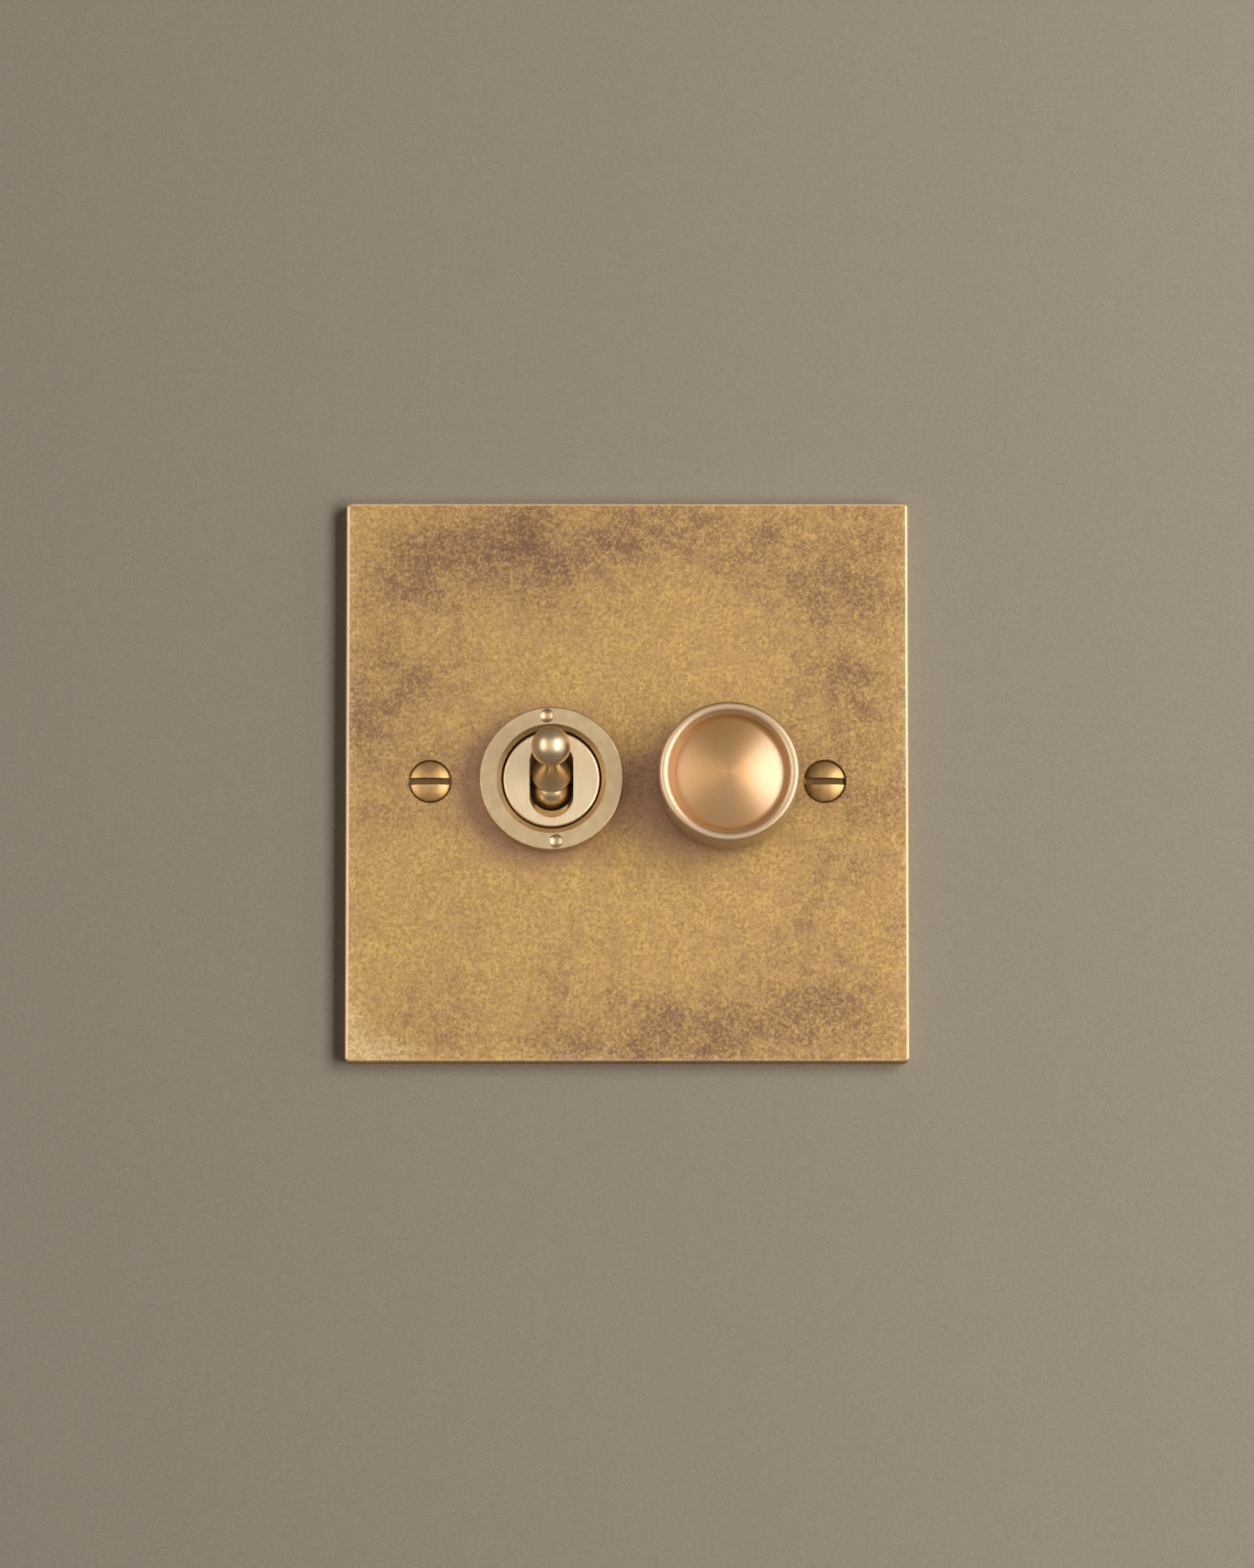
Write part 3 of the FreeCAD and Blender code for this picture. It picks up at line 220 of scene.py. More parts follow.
def leave_edit():
    bpy.ops.object.mode_set(mode="OBJECT")


def settle(name):
    """Names the new piece and moves its place into its mesh."""
    piece = bpy.context.object
    piece.name = name
    bpy.ops.object.transform_apply(location=True, rotation=True, scale=True)
    return piece


def select_edges(piece, wanted):
    """Selects, in edit mode, the edges whose two end points are wanted."""
    bpy.ops.mesh.select_mode(type="EDGE")
    bpy.ops.mesh.select_all(action="DESELECT")
    mesh = bmesh.from_edit_mesh(piece.data)
    for part in mesh.edges:
        part.select_set(wanted(part.verts[0].co, part.verts[1].co))
    mesh.select_flush_mode()
    bmesh.update_edit_mesh(piece.data)


def select_points(piece, wanted):
    bpy.ops.mesh.select_mode(type="VERT")
    bpy.ops.mesh.select_all(action="DESELECT")
    mesh = bmesh.from_edit_mesh(piece.data)
    for point in mesh.verts:
        point.select_set(wanted(point.co))
    mesh.select_flush_mode()
    bmesh.update_edit_mesh(piece.data)


def along_depth(start, end):
    return abs(start.y - end.y) > HAIR


def block_piece(name, low, high):
    deselect()
    bpy.ops.mesh.primitive_cube_add(size=1.0, location=(low + high) / 2, scale=high - low)
    return settle(name)


def round_block(name, low, high, corner):
    """Block with its front-to-back edges rounded."""
    piece = block_piece(name, low, high)
    edit(piece)
    select_edges(piece, along_depth)
    bpy.ops.mesh.bevel(offset=corner, segments=CORNER_STEPS, affect="EDGES")
    leave_edit()
    return piece


def drill(name, mouth, radius, depth, steps=HOLE_STEPS):
    """Cutter for a straight hole from its mouth backwards, which overshoots the mouth."""
    deselect()
    length = depth + OVERSHOOT
    bpy.ops.mesh.primitive_cylinder_add(
        vertices=steps, radius=radius, depth=length,
        location=mouth + BACK * (depth - OVERSHOOT) / 2, rotation=(math.pi / 2, 0, 0),
    )
    return settle(name)


def countersink(name, mouth, radius, end_radius, depth, steps=HOLE_STEPS):
    """Cutter for a tapered hole from its mouth backwards, which overshoots the mouth."""
    deselect()
    widening = (radius - end_radius) / depth * OVERSHOOT
    bpy.ops.mesh.primitive_cone_add(
        vertices=steps, radius1=end_radius, radius2=radius + widening, depth=depth + OVERSHOOT,
        location=mouth + BACK * (depth - OVERSHOOT) / 2, rotation=(math.pi / 2, 0, 0),
    )
    return settle(name)


def apply_modifier(piece, kind, **settings):
    activate(piece)
    modifier = piece.modifiers.new(kind.lower(), kind)
    for name, value in settings.items():
        setattr(modifier, name, value)
    bpy.ops.object.modifier_apply(modifier=modifier.name)


def combine(piece, other, operation):
    apply_modifier(piece, "BOOLEAN", operation=operation, solver="EXACT", object=other)
    bpy.data.objects.remove(other)


def cut(piece, cutter):
    combine(piece, cutter, "DIFFERENCE")


def weld(piece, other):
    combine(piece, other, "UNION")


def soften_edges(piece, width):
    apply_modifier(
        piece, "BEVEL", width=width, segments=EASED_STEPS, limit_method="ANGLE",
        angle_limit=SHARP_ANGLE, use_clamp_overlap=True,
    )


def finish_mesh(piece):
    """Shades curves smooth while the large flat faces stay flat."""
    activate(piece)
    bpy.ops.object.shade_smooth_by_angle(angle=SMOOTH_ANGLE)
    apply_modifier(piece, "WEIGHTED_NORMAL", keep_sharp=True, weight=50)
    return piece


def close_mesh(piece):
    edit(piece)
    bpy.ops.mesh.remove_doubles(threshold=MERGE_DISTANCE)
    bpy.ops.mesh.select_all(action="SELECT")
    bpy.ops.mesh.normals_make_consistent(inside=False)
    leave_edit()


def joined(pieces):
    activate(pieces[0])
    for piece in pieces[1:]:
        piece.select_set(True)
    bpy.ops.object.join()
    return pieces[0]


def drawn_line(name, points):
    """Line of edges through the points, drawn from one corner of a plane."""
    deselect()
    bpy.ops.mesh.primitive_plane_add(size=MM, location=points[0])
    piece = settle(name)
    edit(piece)
    bpy.ops.mesh.merge(type="CENTER")
    for here, there in zip(points, points[1:]):
        bpy.ops.mesh.extrude_vertices_move(TRANSFORM_OT_translate={"value": there - here})
    leave_edit()
    return piece


def turned_piece(name, profile, centre, axis, steps=TURN_STEPS, away=SIDE):
    """Spins a profile of (radius, distance along the axis) points into a closed turned piece."""
    piece = drawn_line(name, [centre + away * radius + axis * along for radius, along in profile])
    edit(piece)
    bpy.ops.mesh.spin(steps=steps, angle=2 * math.pi, center=centre, axis=axis)
    leave_edit()
    close_mesh(piece)
    return piece


# Profile helpers, each a list of (radius, distance) points

def quarter(start, corner, end, steps=6):
    """Rounds the corner between two points with a quarter of an ellipse."""
    points = []
    for step in range(steps + 1):
        turn = math.pi / 2 * step / steps
        near = 1 - math.sin(turn)
        far = 1 - math.cos(turn)
        points.append(tuple(c + near * (s - c) + far * (e - c) for s, c, e in zip(start, corner, end)))
    return points


def dome(radius, crown, rim, steps=24):
    """Spherical cap from its crown on the axis to its rim."""
    rise = abs(rim - crown)
    sphere = (radius ** 2 + rise ** 2) / (2 * rise)
    sweep = math.asin(radius / sphere)
    away = math.copysign(1.0, rim - crown)
    turns = [sweep * step / steps for step in range(steps + 1)]
    return [(sphere * math.sin(turn), crown + away * sphere * (1 - math.cos(turn))) for turn in turns]


def curve(start, pull_start, pull_end, end, steps=20):
    """Bezier curve between two points."""
    points = []
    for step in range(steps + 1):
        t = step / steps
        shares = ((1 - t) ** 3, 3 * t * (1 - t) ** 2, 3 * t ** 2 * (1 - t), t ** 3)
        corners = (start, pull_start, pull_end, end)
        points.append(tuple(sum(s * c[i] for s, c in zip(shares, corners)) for i in (0, 1)))
    return points


# Plate and its screws

def screw_places():
    reach = SCREWS_HIGH.x - SCREW_HEAD_RADIUS
    return [Vector((side * reach, PLATE_LOW.y, 0)) for side in (-1, 1)]


def front_plate():
    plate = round_block("brass_plate", PLATE_LOW, PLATE_HIGH, PLATE_CORNER)
    edit(plate)
    select_edges(plate, lambda start, end: max(start.y, end.y) < PLATE_LOW.y / 2)
    bpy.ops.mesh.bevel(offset=PLATE_EDGE, segments=PLATE_EDGE_STEPS, affect="EDGES")
    leave_edit()
    inset = Vector((RIM_WIDTH, 0, RIM_WIDTH))
    relief_low = PLATE_LOW + inset
    relief_low.y = PLATE_HIGH.y - RELIEF_DEPTH
    relief_high = PLATE_HIGH - inset + BACK * OVERSHOOT
    cut(plate, round_block("relief", relief_low, relief_high, RELIEF_CORNER))
    through = PLATE_HIGH.y - PLATE_LOW.y + OVERSHOOT
    sink = COUNTERSINK_RADIUS - SCREW_HOLE_RADIUS
    for place in screw_places():
        cut(plate, drill("screw_hole", place, SCREW_HOLE_RADIUS, through))
        cut(plate, countersink("sink", place, COUNTERSINK_RADIUS, SCREW_HOLE_RADIUS, sink))
    for node, radius in (("ring_nut", RING_BORE_RADIUS), ("dimmer_knob", DIMMER_HOLE_RADIUS)):
        place = Vector((middle_of(node).x, PLATE_LOW.y, 0))
        cut(plate, drill("bush_hole", place, radius, through))
    return finish_mesh(plate)


def screw_thread():
    """Helical ridge about the Y axis, closed at both ends."""
    inner = SCREW_ROOT_RADIUS - THREAD_SINK
    corners = [
        (inner, -THREAD_HALF_FOOT),
        (SCREW_RADIUS, -THREAD_HALF_CREST),
        (SCREW_RADIUS, THREAD_HALF_CREST),
        (inner, THREAD_HALF_FOOT),
    ]
    ridge = drawn_line("thread", [Vector((radius, along, 0)) for radius, along in corners])
    edit(ridge)
    bpy.ops.mesh.edge_face_add()
    bpy.ops.mesh.delete(type="ONLY_FACE")
    leave_edit()
    turns = int((SCREWS_HIGH.y - SCREW_TIP - SCREW_THREAD_START) / SCREW_PITCH) - 1
    apply_modifier(
        ridge, "SCREW", axis="Y", angle=2 * math.pi, screw_offset=SCREW_PITCH, iterations=turns,
        steps=THREAD_STEPS, render_steps=THREAD_STEPS,
    )
    edit(ridge)
    bpy.ops.transform.translate(value=BACK * (SCREW_THREAD_START + THREAD_HALF_FOOT))
    bpy.ops.mesh.select_non_manifold()
    bpy.ops.mesh.fill_holes(sides=4)
    leave_edit()
    close_mesh(ridge)
    return ridge


def plate_screw():
    """One screw on the Y axis: slotted raised head, neck, core and thread."""
    crown = SCREWS_LOW.y
    rim = crown + SCREW_RISE
    neck = rim + SCREW_HEAD_RADIUS - SCREW_NECK_RADIUS
    tip = SCREWS_HIGH.y
    profile = dome(SCREW_HEAD_RADIUS - SCREW_EDGE, crown, rim - SCREW_EDGE)
    profile += [
        (SCREW_HEAD_RADIUS, rim),
        (SCREW_NECK_RADIUS, neck),
        (SCREW_NECK_RADIUS, SCREW_THREAD_START),
        (SCREW_ROOT_RADIUS, SCREW_THREAD_START),
        (SCREW_ROOT_RADIUS, tip - SCREW_TIP),
        (SCREW_ROOT_RADIUS - SCREW_TIP, tip),
        (0.0, tip),
    ]
    screw = turned_piece("screw", profile, Vector(), BACK, SCREW_STEPS)
    half_slot = Vector((SCREW_SLOT_HALF_LENGTH, 0, SCREW_SLOT_WIDTH / 2))
    low = BACK * (crown - SCREW_RISE) - half_slot
    high = BACK * (crown + SCREW_SLOT_DEPTH) + half_slot
    cut(screw, block_piece("slot", low, high))
    return joined([screw, screw_thread()])


def plate_screws():
    first = plate_screw()
    activate(first)
    bpy.ops.object.duplicate()
    pair = [first, bpy.context.object]
    for screw, place in zip(pair, screw_places()):
        edit(screw)
        bpy.ops.transform.translate(value=SIDE * place.x)
        leave_edit()
    screws = joined(pair)
    screws.name = "slotted_screws"
    return finish_mesh(screws)


# Dolly switch, front pieces

def ring_nut():
    face, back = RING_LOW.y, RING_HIGH.y
    lip = RING_BORE_RADIUS + RING_LIP_WIDTH
    lip_floor = face + RING_LIP_DEPTH
    edge = RING_RADIUS - RING_EDGE
    profile = [(RING_BORE_RADIUS, back), (RING_BORE_RADIUS, lip_floor), (lip, face)]
    profile += quarter((edge, face), (RING_RADIUS, face), (RING_RADIUS, face + RING_EDGE))
    profile += [(RING_RADIUS, back), (RING_BORE_RADIUS, back)]
    centre = Vector((middle_of("ring_nut").x, 0, 0))
    ring = turned_piece("spanner_ring", profile, centre, BACK)
    for half_turn in (0.0, math.pi):
        turn = half_turn - DIMPLE_TURN
        away = Vector((math.sin(turn), 0, math.cos(turn))) * DIMPLE_PITCH_RADIUS
        mouth = centre + away + BACK * face
        cut(ring, countersink("dimple", mouth, DIMPLE_RADIUS, 0.0, DIMPLE_DEPTH, DIMPLE_STEPS))
    return finish_mesh(ring)


def slot_cutter(mouth, depth):
    """Upright slot with round ends, whose mouth flares at the top and the bottom."""
    slot = drill("slot", mouth, SLOT_WIDTH / 2, SLOT_FLARE_DEPTH, SLOT_STEPS)
    straight = (SLOT_LENGTH - SLOT_WIDTH) / 2
    flare = SLOT_FLARE * (1 + OVERSHOOT / SLOT_FLARE_DEPTH)
    edit(slot)
    for side in (-1, 1):
        select_points(slot, lambda point: side * point.z > HAIR)
        bpy.ops.transform.translate(value=(0, 0, side * straight))
        select_points(slot, lambda point: side * point.z > HAIR and point.y < mouth.y)
        bpy.ops.transform.translate(value=(0, 0, side * flare))
    select_points(slot, lambda point: point.y > mouth.y)
    throat = BACK * (depth + OVERSHOOT - SLOT_FLARE_DEPTH)
    bpy.ops.mesh.extrude_region_move(TRANSFORM_OT_translate={"value": throat})
    leave_edit()
    return slot


def toggle_bush():
    face, back = BUSH_LOW.y, BUSH_HIGH.y
    flange = back - BUSH_FLANGE
    edge = BUSH_RADIUS - BUSH_BEVEL
    profile = [(0.0, face)]
    profile += quarter((edge, face), (BUSH_RADIUS, face), (BUSH_RADIUS, face + BUSH_BEVEL))
    profile += [
        (BUSH_RADIUS, flange),
        (BUSH_FLANGE_RADIUS, flange),
        (BUSH_FLANGE_RADIUS, back),
        (0.0, back),
    ]
    centre = Vector((middle_of("toggle_bush").x, 0, 0))
    bush = turned_piece("slotted_bush", profile, centre, BACK)
    cut(bush, slot_cutter(centre + BACK * face, back - face))
    half = Vector((SLOT_REAR_WIDTH / 2, 0, SLOT_REAR_LENGTH / 2))
    low = centre + BACK * (back - SLOT_REAR_DEPTH) - half
    high = centre + BACK * (back + OVERSHOOT) + half
    cut(bush, block_piece("rear_opening", low, high))
    return finish_mesh(bush)


def dolly_ball(steps=32):
    """Ball of the tip, from its end on the axis to the neck."""
    sweep = math.pi - math.asin(DOLLY_NECK_RADIUS / DOLLY_BALL_RADIUS)
    turns = [sweep * step / steps for step in range(steps + 1)]
    return [
        (DOLLY_BALL_RADIUS * math.sin(turn), DOLLY_BALL_REACH + DOLLY_BALL_RADIUS * math.cos(turn))
        for turn in turns
    ]


def dolly_profile():
    """Ball, thin neck, cone, collar, barrel and bored arm, from the tip backwards."""
    collar_back = DOLLY_COLLAR_REACH - DOLLY_COLLAR_WIDTH
    rim = DOLLY_COLLAR_RADIUS - DOLLY_COLLAR_EDGE
    waist = DOLLY_COLLAR_REACH + DOLLY_CONE
    widening = rim - DOLLY_NECK_RADIUS
    profile = dolly_ball()
    profile += curve(
        (DOLLY_NECK_RADIUS, DOLLY_NECK_JOINT), (DOLLY_NECK_RADIUS, waist),
        (DOLLY_NECK_RADIUS + DOLLY_CONE_EASE * widening, waist - DOLLY_CONE_EASE * DOLLY_CONE),
        (rim, DOLLY_COLLAR_REACH),
    )
    return profile + [
        (DOLLY_COLLAR_RADIUS, DOLLY_COLLAR_REACH - DOLLY_COLLAR_EDGE),
        (DOLLY_COLLAR_RADIUS, collar_back),
        (DOLLY_BARREL_RADIUS, collar_back - (DOLLY_COLLAR_RADIUS - DOLLY_BARREL_RADIUS)),
        (DOLLY_BARREL_RADIUS, DOLLY_BARREL_TAIL),
        (DOLLY_ARM_RADIUS, DOLLY_BARREL_TAIL - (DOLLY_BARREL_RADIUS - DOLLY_ARM_RADIUS)),
        (DOLLY_ARM_RADIUS, DOLLY_ARM_END),
        (DOLLY_BORE_RADIUS, DOLLY_ARM_END),
        (DOLLY_BORE_RADIUS, DOLLY_BORE_END),
        (0.0, DOLLY_BORE_END),
    ]


def dolly_hub(side):
    """Rounded cheek above or below the pin that closes the slot, cut flat behind."""
    centre = DOLLY_PIVOT - DOLLY_AXIS * HUB_SETBACK + DOLLY_UP * side * HUB_OFFSET
    shoulder = HUB_RADIUS - HUB_HALF_WIDTH
    crest = (HUB_RADIUS, 0.0)
    profile = [(0.0, -HUB_HALF_WIDTH)]
    profile += quarter((shoulder, -HUB_HALF_WIDTH), (HUB_RADIUS, -HUB_HALF_WIDTH), crest, HUB_ROUND_STEPS)
    profile += quarter(
        crest, (HUB_RADIUS, HUB_HALF_WIDTH), (shoulder, HUB_HALF_WIDTH), HUB_ROUND_STEPS,
    )[1:]
    profile += [(0.0, HUB_HALF_WIDTH)]
    hub = turned_piece("hub", profile, centre, SIDE, HUB_STEPS, DOLLY_UP)
    edit(hub)
    bpy.ops.mesh.bisect(
        plane_co=DOLLY_PIVOT + DOLLY_AXIS * HUB_REAR, plane_no=-DOLLY_AXIS, use_fill=True, clear_outer=True,
    )
    leave_edit()
    close_mesh(hub)
    return hub


def dolly():
    lever = turned_piece("turned_dolly", dolly_profile(), DOLLY_PIVOT, DOLLY_AXIS)
    for side in (-1, 1):
        weld(lever, dolly_hub(side))
    return finish_mesh(lever)


# Dimmer knob

def knob_face(crown, steps=32):
    """Shallow cone with a rounded centre, from its crown outwards."""
    points = []
    for step in range(steps + 1):
        radius = KNOB_GROOVE_RADIUS * step / steps
        fall = math.hypot(radius, KNOB_FACE_ROUND) - KNOB_FACE_ROUND
        points.append((radius, crown + KNOB_FACE_SLOPE * fall))
    return points


def dimmer_knob():
    front, base = KNOB_LOW.y, KNOB_HIGH.y
    crest = KNOB_RADIUS - KNOB_RIM_ROUND
    roll = front + KNOB_RIM_ROLL
    cavity = front + KNOB_FRONT
    profile = knob_face(front + KNOB_FACE_SETBACK)
    profile += [(KNOB_RIM_INNER_RADIUS, profile[-1][1])]
    profile += quarter(
        (KNOB_RIM_INNER_RADIUS, roll), (KNOB_RIM_INNER_RADIUS, front), (crest, front), KNOB_ROUND_STEPS,
    )
    profile += quarter(
        (crest, front), (KNOB_RADIUS, front), (KNOB_RADIUS, front + KNOB_RIM_ROUND), KNOB_ROUND_STEPS,
    )[1:]
    profile += [
        (KNOB_RADIUS, base - KNOB_BASE_BEVEL),
        (KNOB_RADIUS - KNOB_BASE_BEVEL, base),
        (KNOB_CAVITY_RADIUS, base),
        (KNOB_CAVITY_RADIUS, cavity),
        (0.0, cavity),
    ]
    centre = Vector((middle_of("dimmer_knob").x, 0, 0))
    return finish_mesh(turned_piece("turned_knob", profile, centre, BACK))


# Hidden pieces, whose solids are right and get broken edges

def eased_copy(node, width):
    """Copy of a node's solid with its sharp edges broken."""
    deselect()
    solid = frame["nodes"][node]
    activate(solid)
    bpy.ops.object.duplicate()
    piece = bpy.context.object
    bpy.ops.object.parent_clear(type="CLEAR_KEEP_TRANSFORM")
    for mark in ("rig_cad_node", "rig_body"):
        del piece[mark]
    piece.name = node + "_eased"
    edit(piece)
    bpy.ops.mesh.remove_doubles(threshold=SOLID_MERGE_DISTANCE)
    bpy.ops.mesh.dissolve_limited(angle_limit=FLAT_ANGLE)
    leave_edit()
    soften_edges(piece, width)
    return finish_mesh(piece)


# Node helpers

VECTOR = "NodeSocketVector"
FLOAT = "NodeSocketFloat"


def add_node(tree, kind, settings=None, **inputs):
    """Adds a node. Inputs are values or sockets, with underscores for the spaces in their names."""
    node = tree.nodes.new("ShaderNode" + kind)
    for name, value in (settings or {}).items():
        setattr(node, name, value)
    for name, value in inputs.items():
        feed(tree, node.inputs[name.replace("_", " ")], value)
    return node


def feed(tree, socket, value):
    if isinstance(value, bpy.types.NodeSocket):
        tree.links.new(value, socket)
    else:
        socket.default_value = value


def calculate(tree, operation, first, second=0.0, clamp=False):
    node = tree.nodes.new("ShaderNodeMath")
    node.operation = operation
    node.use_clamp = clamp
    feed(tree, node.inputs[0], first)
    feed(tree, node.inputs[1], second)
    return node.outputs[0]


def plus(tree, first, second):
    return calculate(tree, "ADD", first, second)


def times(tree, first, second):
    return calculate(tree, "MULTIPLY", first, second)


def larger(tree, first, second):
    return calculate(tree, "MAXIMUM", first, second)


def size_of(tree, value):
    return calculate(tree, "ABSOLUTE", value)


def spread(tree, value, low, high, to_low=0.0, to_high=1.0):
    """Maps a value smoothly from one span to another."""
    node = add_node(
        tree, "MapRange", {"interpolation_type": "SMOOTHSTEP"}, Value=value,
        From_Min=low, From_Max=high, To_Min=to_low, To_Max=to_high,
    )
    return node.outputs["Result"]


def mix_colours(tree, share, first, second):
    node = tree.nodes.new("ShaderNodeMix")
    node.data_type = "RGBA"
    feed(tree, node.inputs[0], share)
    feed(tree, node.inputs[6], first)
    feed(tree, node.inputs[7], second)
    return node.outputs[2]


def noise(tree, vector, scale, detail, roughness=0.5):
    node = add_node(tree, "TexNoise", Vector=vector, Scale=scale, Detail=detail, Roughness=roughness)
    return node.outputs["Fac"]


def mapped(tree, vector, scale=(1, 1, 1), location=(0, 0, 0)):
    node = add_node(tree, "Mapping", Vector=vector, Scale=scale, Location=location)
    return node.outputs["Vector"]


def split(tree, vector):
    """Sockets of a vector's parts, by the letters of their axes."""
    return add_node(tree, "SeparateXYZ", Vector=vector).outputs


def axis_distance(tree, vector):
    """Distance from the front-to-back axis, and distance along it."""
    parts = split(tree, vector)
    flat = add_node(tree, "CombineXYZ", X=parts["X"], Z=parts["Z"])
    reach = add_node(tree, "VectorMath", {"operation": "LENGTH"})
    tree.links.new(flat.outputs[0], reach.inputs[0])
    return reach.outputs["Value"], parts["Y"]


def effect_group(name, inputs, outputs):
    """Empty node group with float or vector inputs, and its two end nodes."""
    group = bpy.data.node_groups.new(name, "ShaderNodeTree")
    for label, kind in inputs:
        group.interface.new_socket(label, in_out="INPUT", socket_type=kind)
    for label, kind in outputs:
        group.interface.new_socket(label, in_out="OUTPUT", socket_type=kind)
    return group, group.nodes.new("NodeGroupInput"), group.nodes.new("NodeGroupOutput")


def place_effect(tree, group, **inputs):
    node = tree.nodes.new("ShaderNodeGroup")
    node.node_tree = group
    for name, value in inputs.items():
        feed(tree, node.inputs[name.replace("_", " ")], value)
    return node.outputs[0]


def new_material(name, metallic, roughness):
    material = bpy.data.materials.new(name)
    material.use_nodes = True
    tree = material.node_tree
    shader = tree.nodes["Principled BSDF"]
    shader.inputs["Metallic"].default_value = metallic
    shader.inputs["Roughness"].default_value = roughness
    place = add_node(tree, "TexCoord").outputs["Object"]
    return material, tree, shader, place


def vary_roughness(tree, shader, middle, value, swing):
    """Lets the roughness swing about its middle with a value from 0 to 1."""
    rough = plus(tree, middle - swing / 2, times(tree, value, swing))
    tree.links.new(rough, shader.inputs["Roughness"])


def lay_tangent(tree, shader, axis):
    """Turns the shader's smear to run round one axis of the piece."""
    tangent = add_node(tree, "Tangent", {"direction_type": "RADIAL", "axis": axis})
    tree.links.new(tangent.outputs[0], shader.inputs["Tangent"])


def emboss(tree, shader, height, distance, strength):
    bump = add_node(tree, "Bump", Height=height, Distance=distance, Strength=strength)
    tree.links.new(bump.outputs["Normal"], shader.inputs["Normal"])


# Effects that the finishes share

def make_soft_patch():
    """Mask that fades from 1 at a centre on the plate's face to 0 at an oval."""
    sizes = ("Centre X", "Centre Z", "Half Width", "Half Height")
    inputs = [("Vector", VECTOR)] + [(size, FLOAT) for size in sizes]
    group, start, end = effect_group("soft_patch", inputs, [("Mask", FLOAT)])
    parts = split(group, start.outputs["Vector"])
    squares = []
    for axis, centre, half in (("X", "Centre X", "Half Width"), ("Z", "Centre Z", "Half Height")):
        offset = calculate(group, "SUBTRACT", parts[axis], start.outputs[centre])
        share = calculate(group, "DIVIDE", offset, start.outputs[half])
        squares.append(times(group, share, share))
    reach = calculate(group, "SQRT", plus(group, *squares))
    mask = spread(group, reach, 0.0, 1.0, 1.0, 0.0)
    group.links.new(mask, end.inputs["Mask"])
    return group


def make_tarnish():
    """Dark grains of tarnish that crowd together as the cover grows."""
    inputs = [("Vector", VECTOR), ("Cover", FLOAT)]
    group, start, end = effect_group("tarnish_grains", inputs, [("Mask", FLOAT)])
    grains = noise(group, start.outputs["Vector"], 2500.0, 4.0, 0.75)
    clusters = noise(group, start.outputs["Vector"], 600.0, 5.0, 0.7)
    crowd = plus(group, start.outputs["Cover"], spread(group, clusters, 0.25, 0.75, -0.25, 0.25))
    level = plus(group, grains, times(group, crowd, 0.16))
    mask = spread(group, level, 0.46, 0.71)
    group.links.new(mask, end.inputs["Mask"])
    return group


def make_brush_lines():
    """Fine straight lines: noise that the given vector's scale draws out along one direction."""
    group, start, end = effect_group("brush_lines", [("Vector", VECTOR)], [("Lines", FLOAT)])
    fine = noise(group, start.outputs["Vector"], 1.0, 3.0, 0.6)
    group.links.new(fine, end.inputs["Lines"])
    return group


def make_turning_lines():
    """Concentric lathe lines round the piece's own front-to-back axis."""
    inputs = [("Vector", VECTOR), ("Count", FLOAT)]
    group, start, end = effect_group("turning_lines", inputs, [("Lines", FLOAT)])
    radius, depth = axis_distance(group, start.outputs["Vector"])
    reach = add_node(group, "CombineXYZ", X=radius, Y=depth)
    lines = noise(group, reach.outputs[0], start.outputs["Count"], 3.0, 0.6)
    group.links.new(lines, end.inputs["Lines"])
    return group


SOFT_PATCH = make_soft_patch()
TARNISH = make_tarnish()
BRUSH_LINES = make_brush_lines()
TURNING_LINES = make_turning_lines()


# Finish of the plate

GOLD_DEEP = (0.35, 0.21, 0.062, 1)
GOLD_PALE = (0.685, 0.443, 0.156, 1)
GOLD_BLUSH = (0.44, 0.255, 0.125, 1)
GOLD_BRUSHED = (0.60, 0.39, 0.155, 1)
# Pale gold of the worn edges, also used for the painted highlight line along them.
GOLD_RUBBED_AND_HIGHLIGHT = (0.86, 0.67, 0.41, 1)
# Painted shade mixed with tarnish: purple-brown that darkens the plate round the ring nut and beside the
# knob.
HALO_SHADE_AND_TARNISH_BROWN = (0.34, 0.185, 0.12, 1)
TARNISH_BROWN = (0.155, 0.082, 0.056, 1)
# Brown of the plate's sides, partly tarnish and partly painted shade.
SIDE_TARNISH_AND_SHADE_BROWN = (0.15, 0.085, 0.045, 1)
# Painted shade and dirt in the countersinks round the screw heads.
SINK_SHADE_AND_GRIME_BLACK = (0.025, 0.016, 0.01, 1)
PLATE_ROUGHNESS = 0.48
PLATE_BRUSHING = (3600.0, 900.0, 420.0)

# Each patch on the plate in millimetres: centre x and z, half width and half height. Its cover comes last.
TARNISH_PATCHES = (
    (-20.0, 36.0, 38.0, 17.0, 0.72),
    (24.0, 36.0, 34.0, 16.0, 0.55),
    (-20.0, 35.0, 22.0, 10.0, 0.12),
    (4.0, 38.0, 18.0, 12.0, 0.18),
    (33.0, 24.0, 18.0, 20.0, 0.1),
    (-36.0, 10.0, 20.0, 32.0, 0.55),
    (36.0, 8.0, 24.0, 38.0, 0.5),
    (10.0, -39.0, 44.0, 15.0, 0.7),
    (34.0, -28.0, 22.0, 22.0, 0.35),
    (-28.0, -36.0, 20.0, 13.0, 0.35),
)
# Painted shade mixed with tarnish, left of the ring nut and between it and the knob.
HALO_SHADE_AND_TARNISH_PATCHES = (
    (-14.0, -1.2, 18.0, 16.0, 2.7),
    (9.5, -1.8, 17.0, 16.0, 1.6),
)
CORNER_PATCH = (-43.0, -43.0, 15.0, 13.0, 1.0)
SINK_DARKENING_REACH = 9.0

RUB_WIDTH = 3.2 * MM
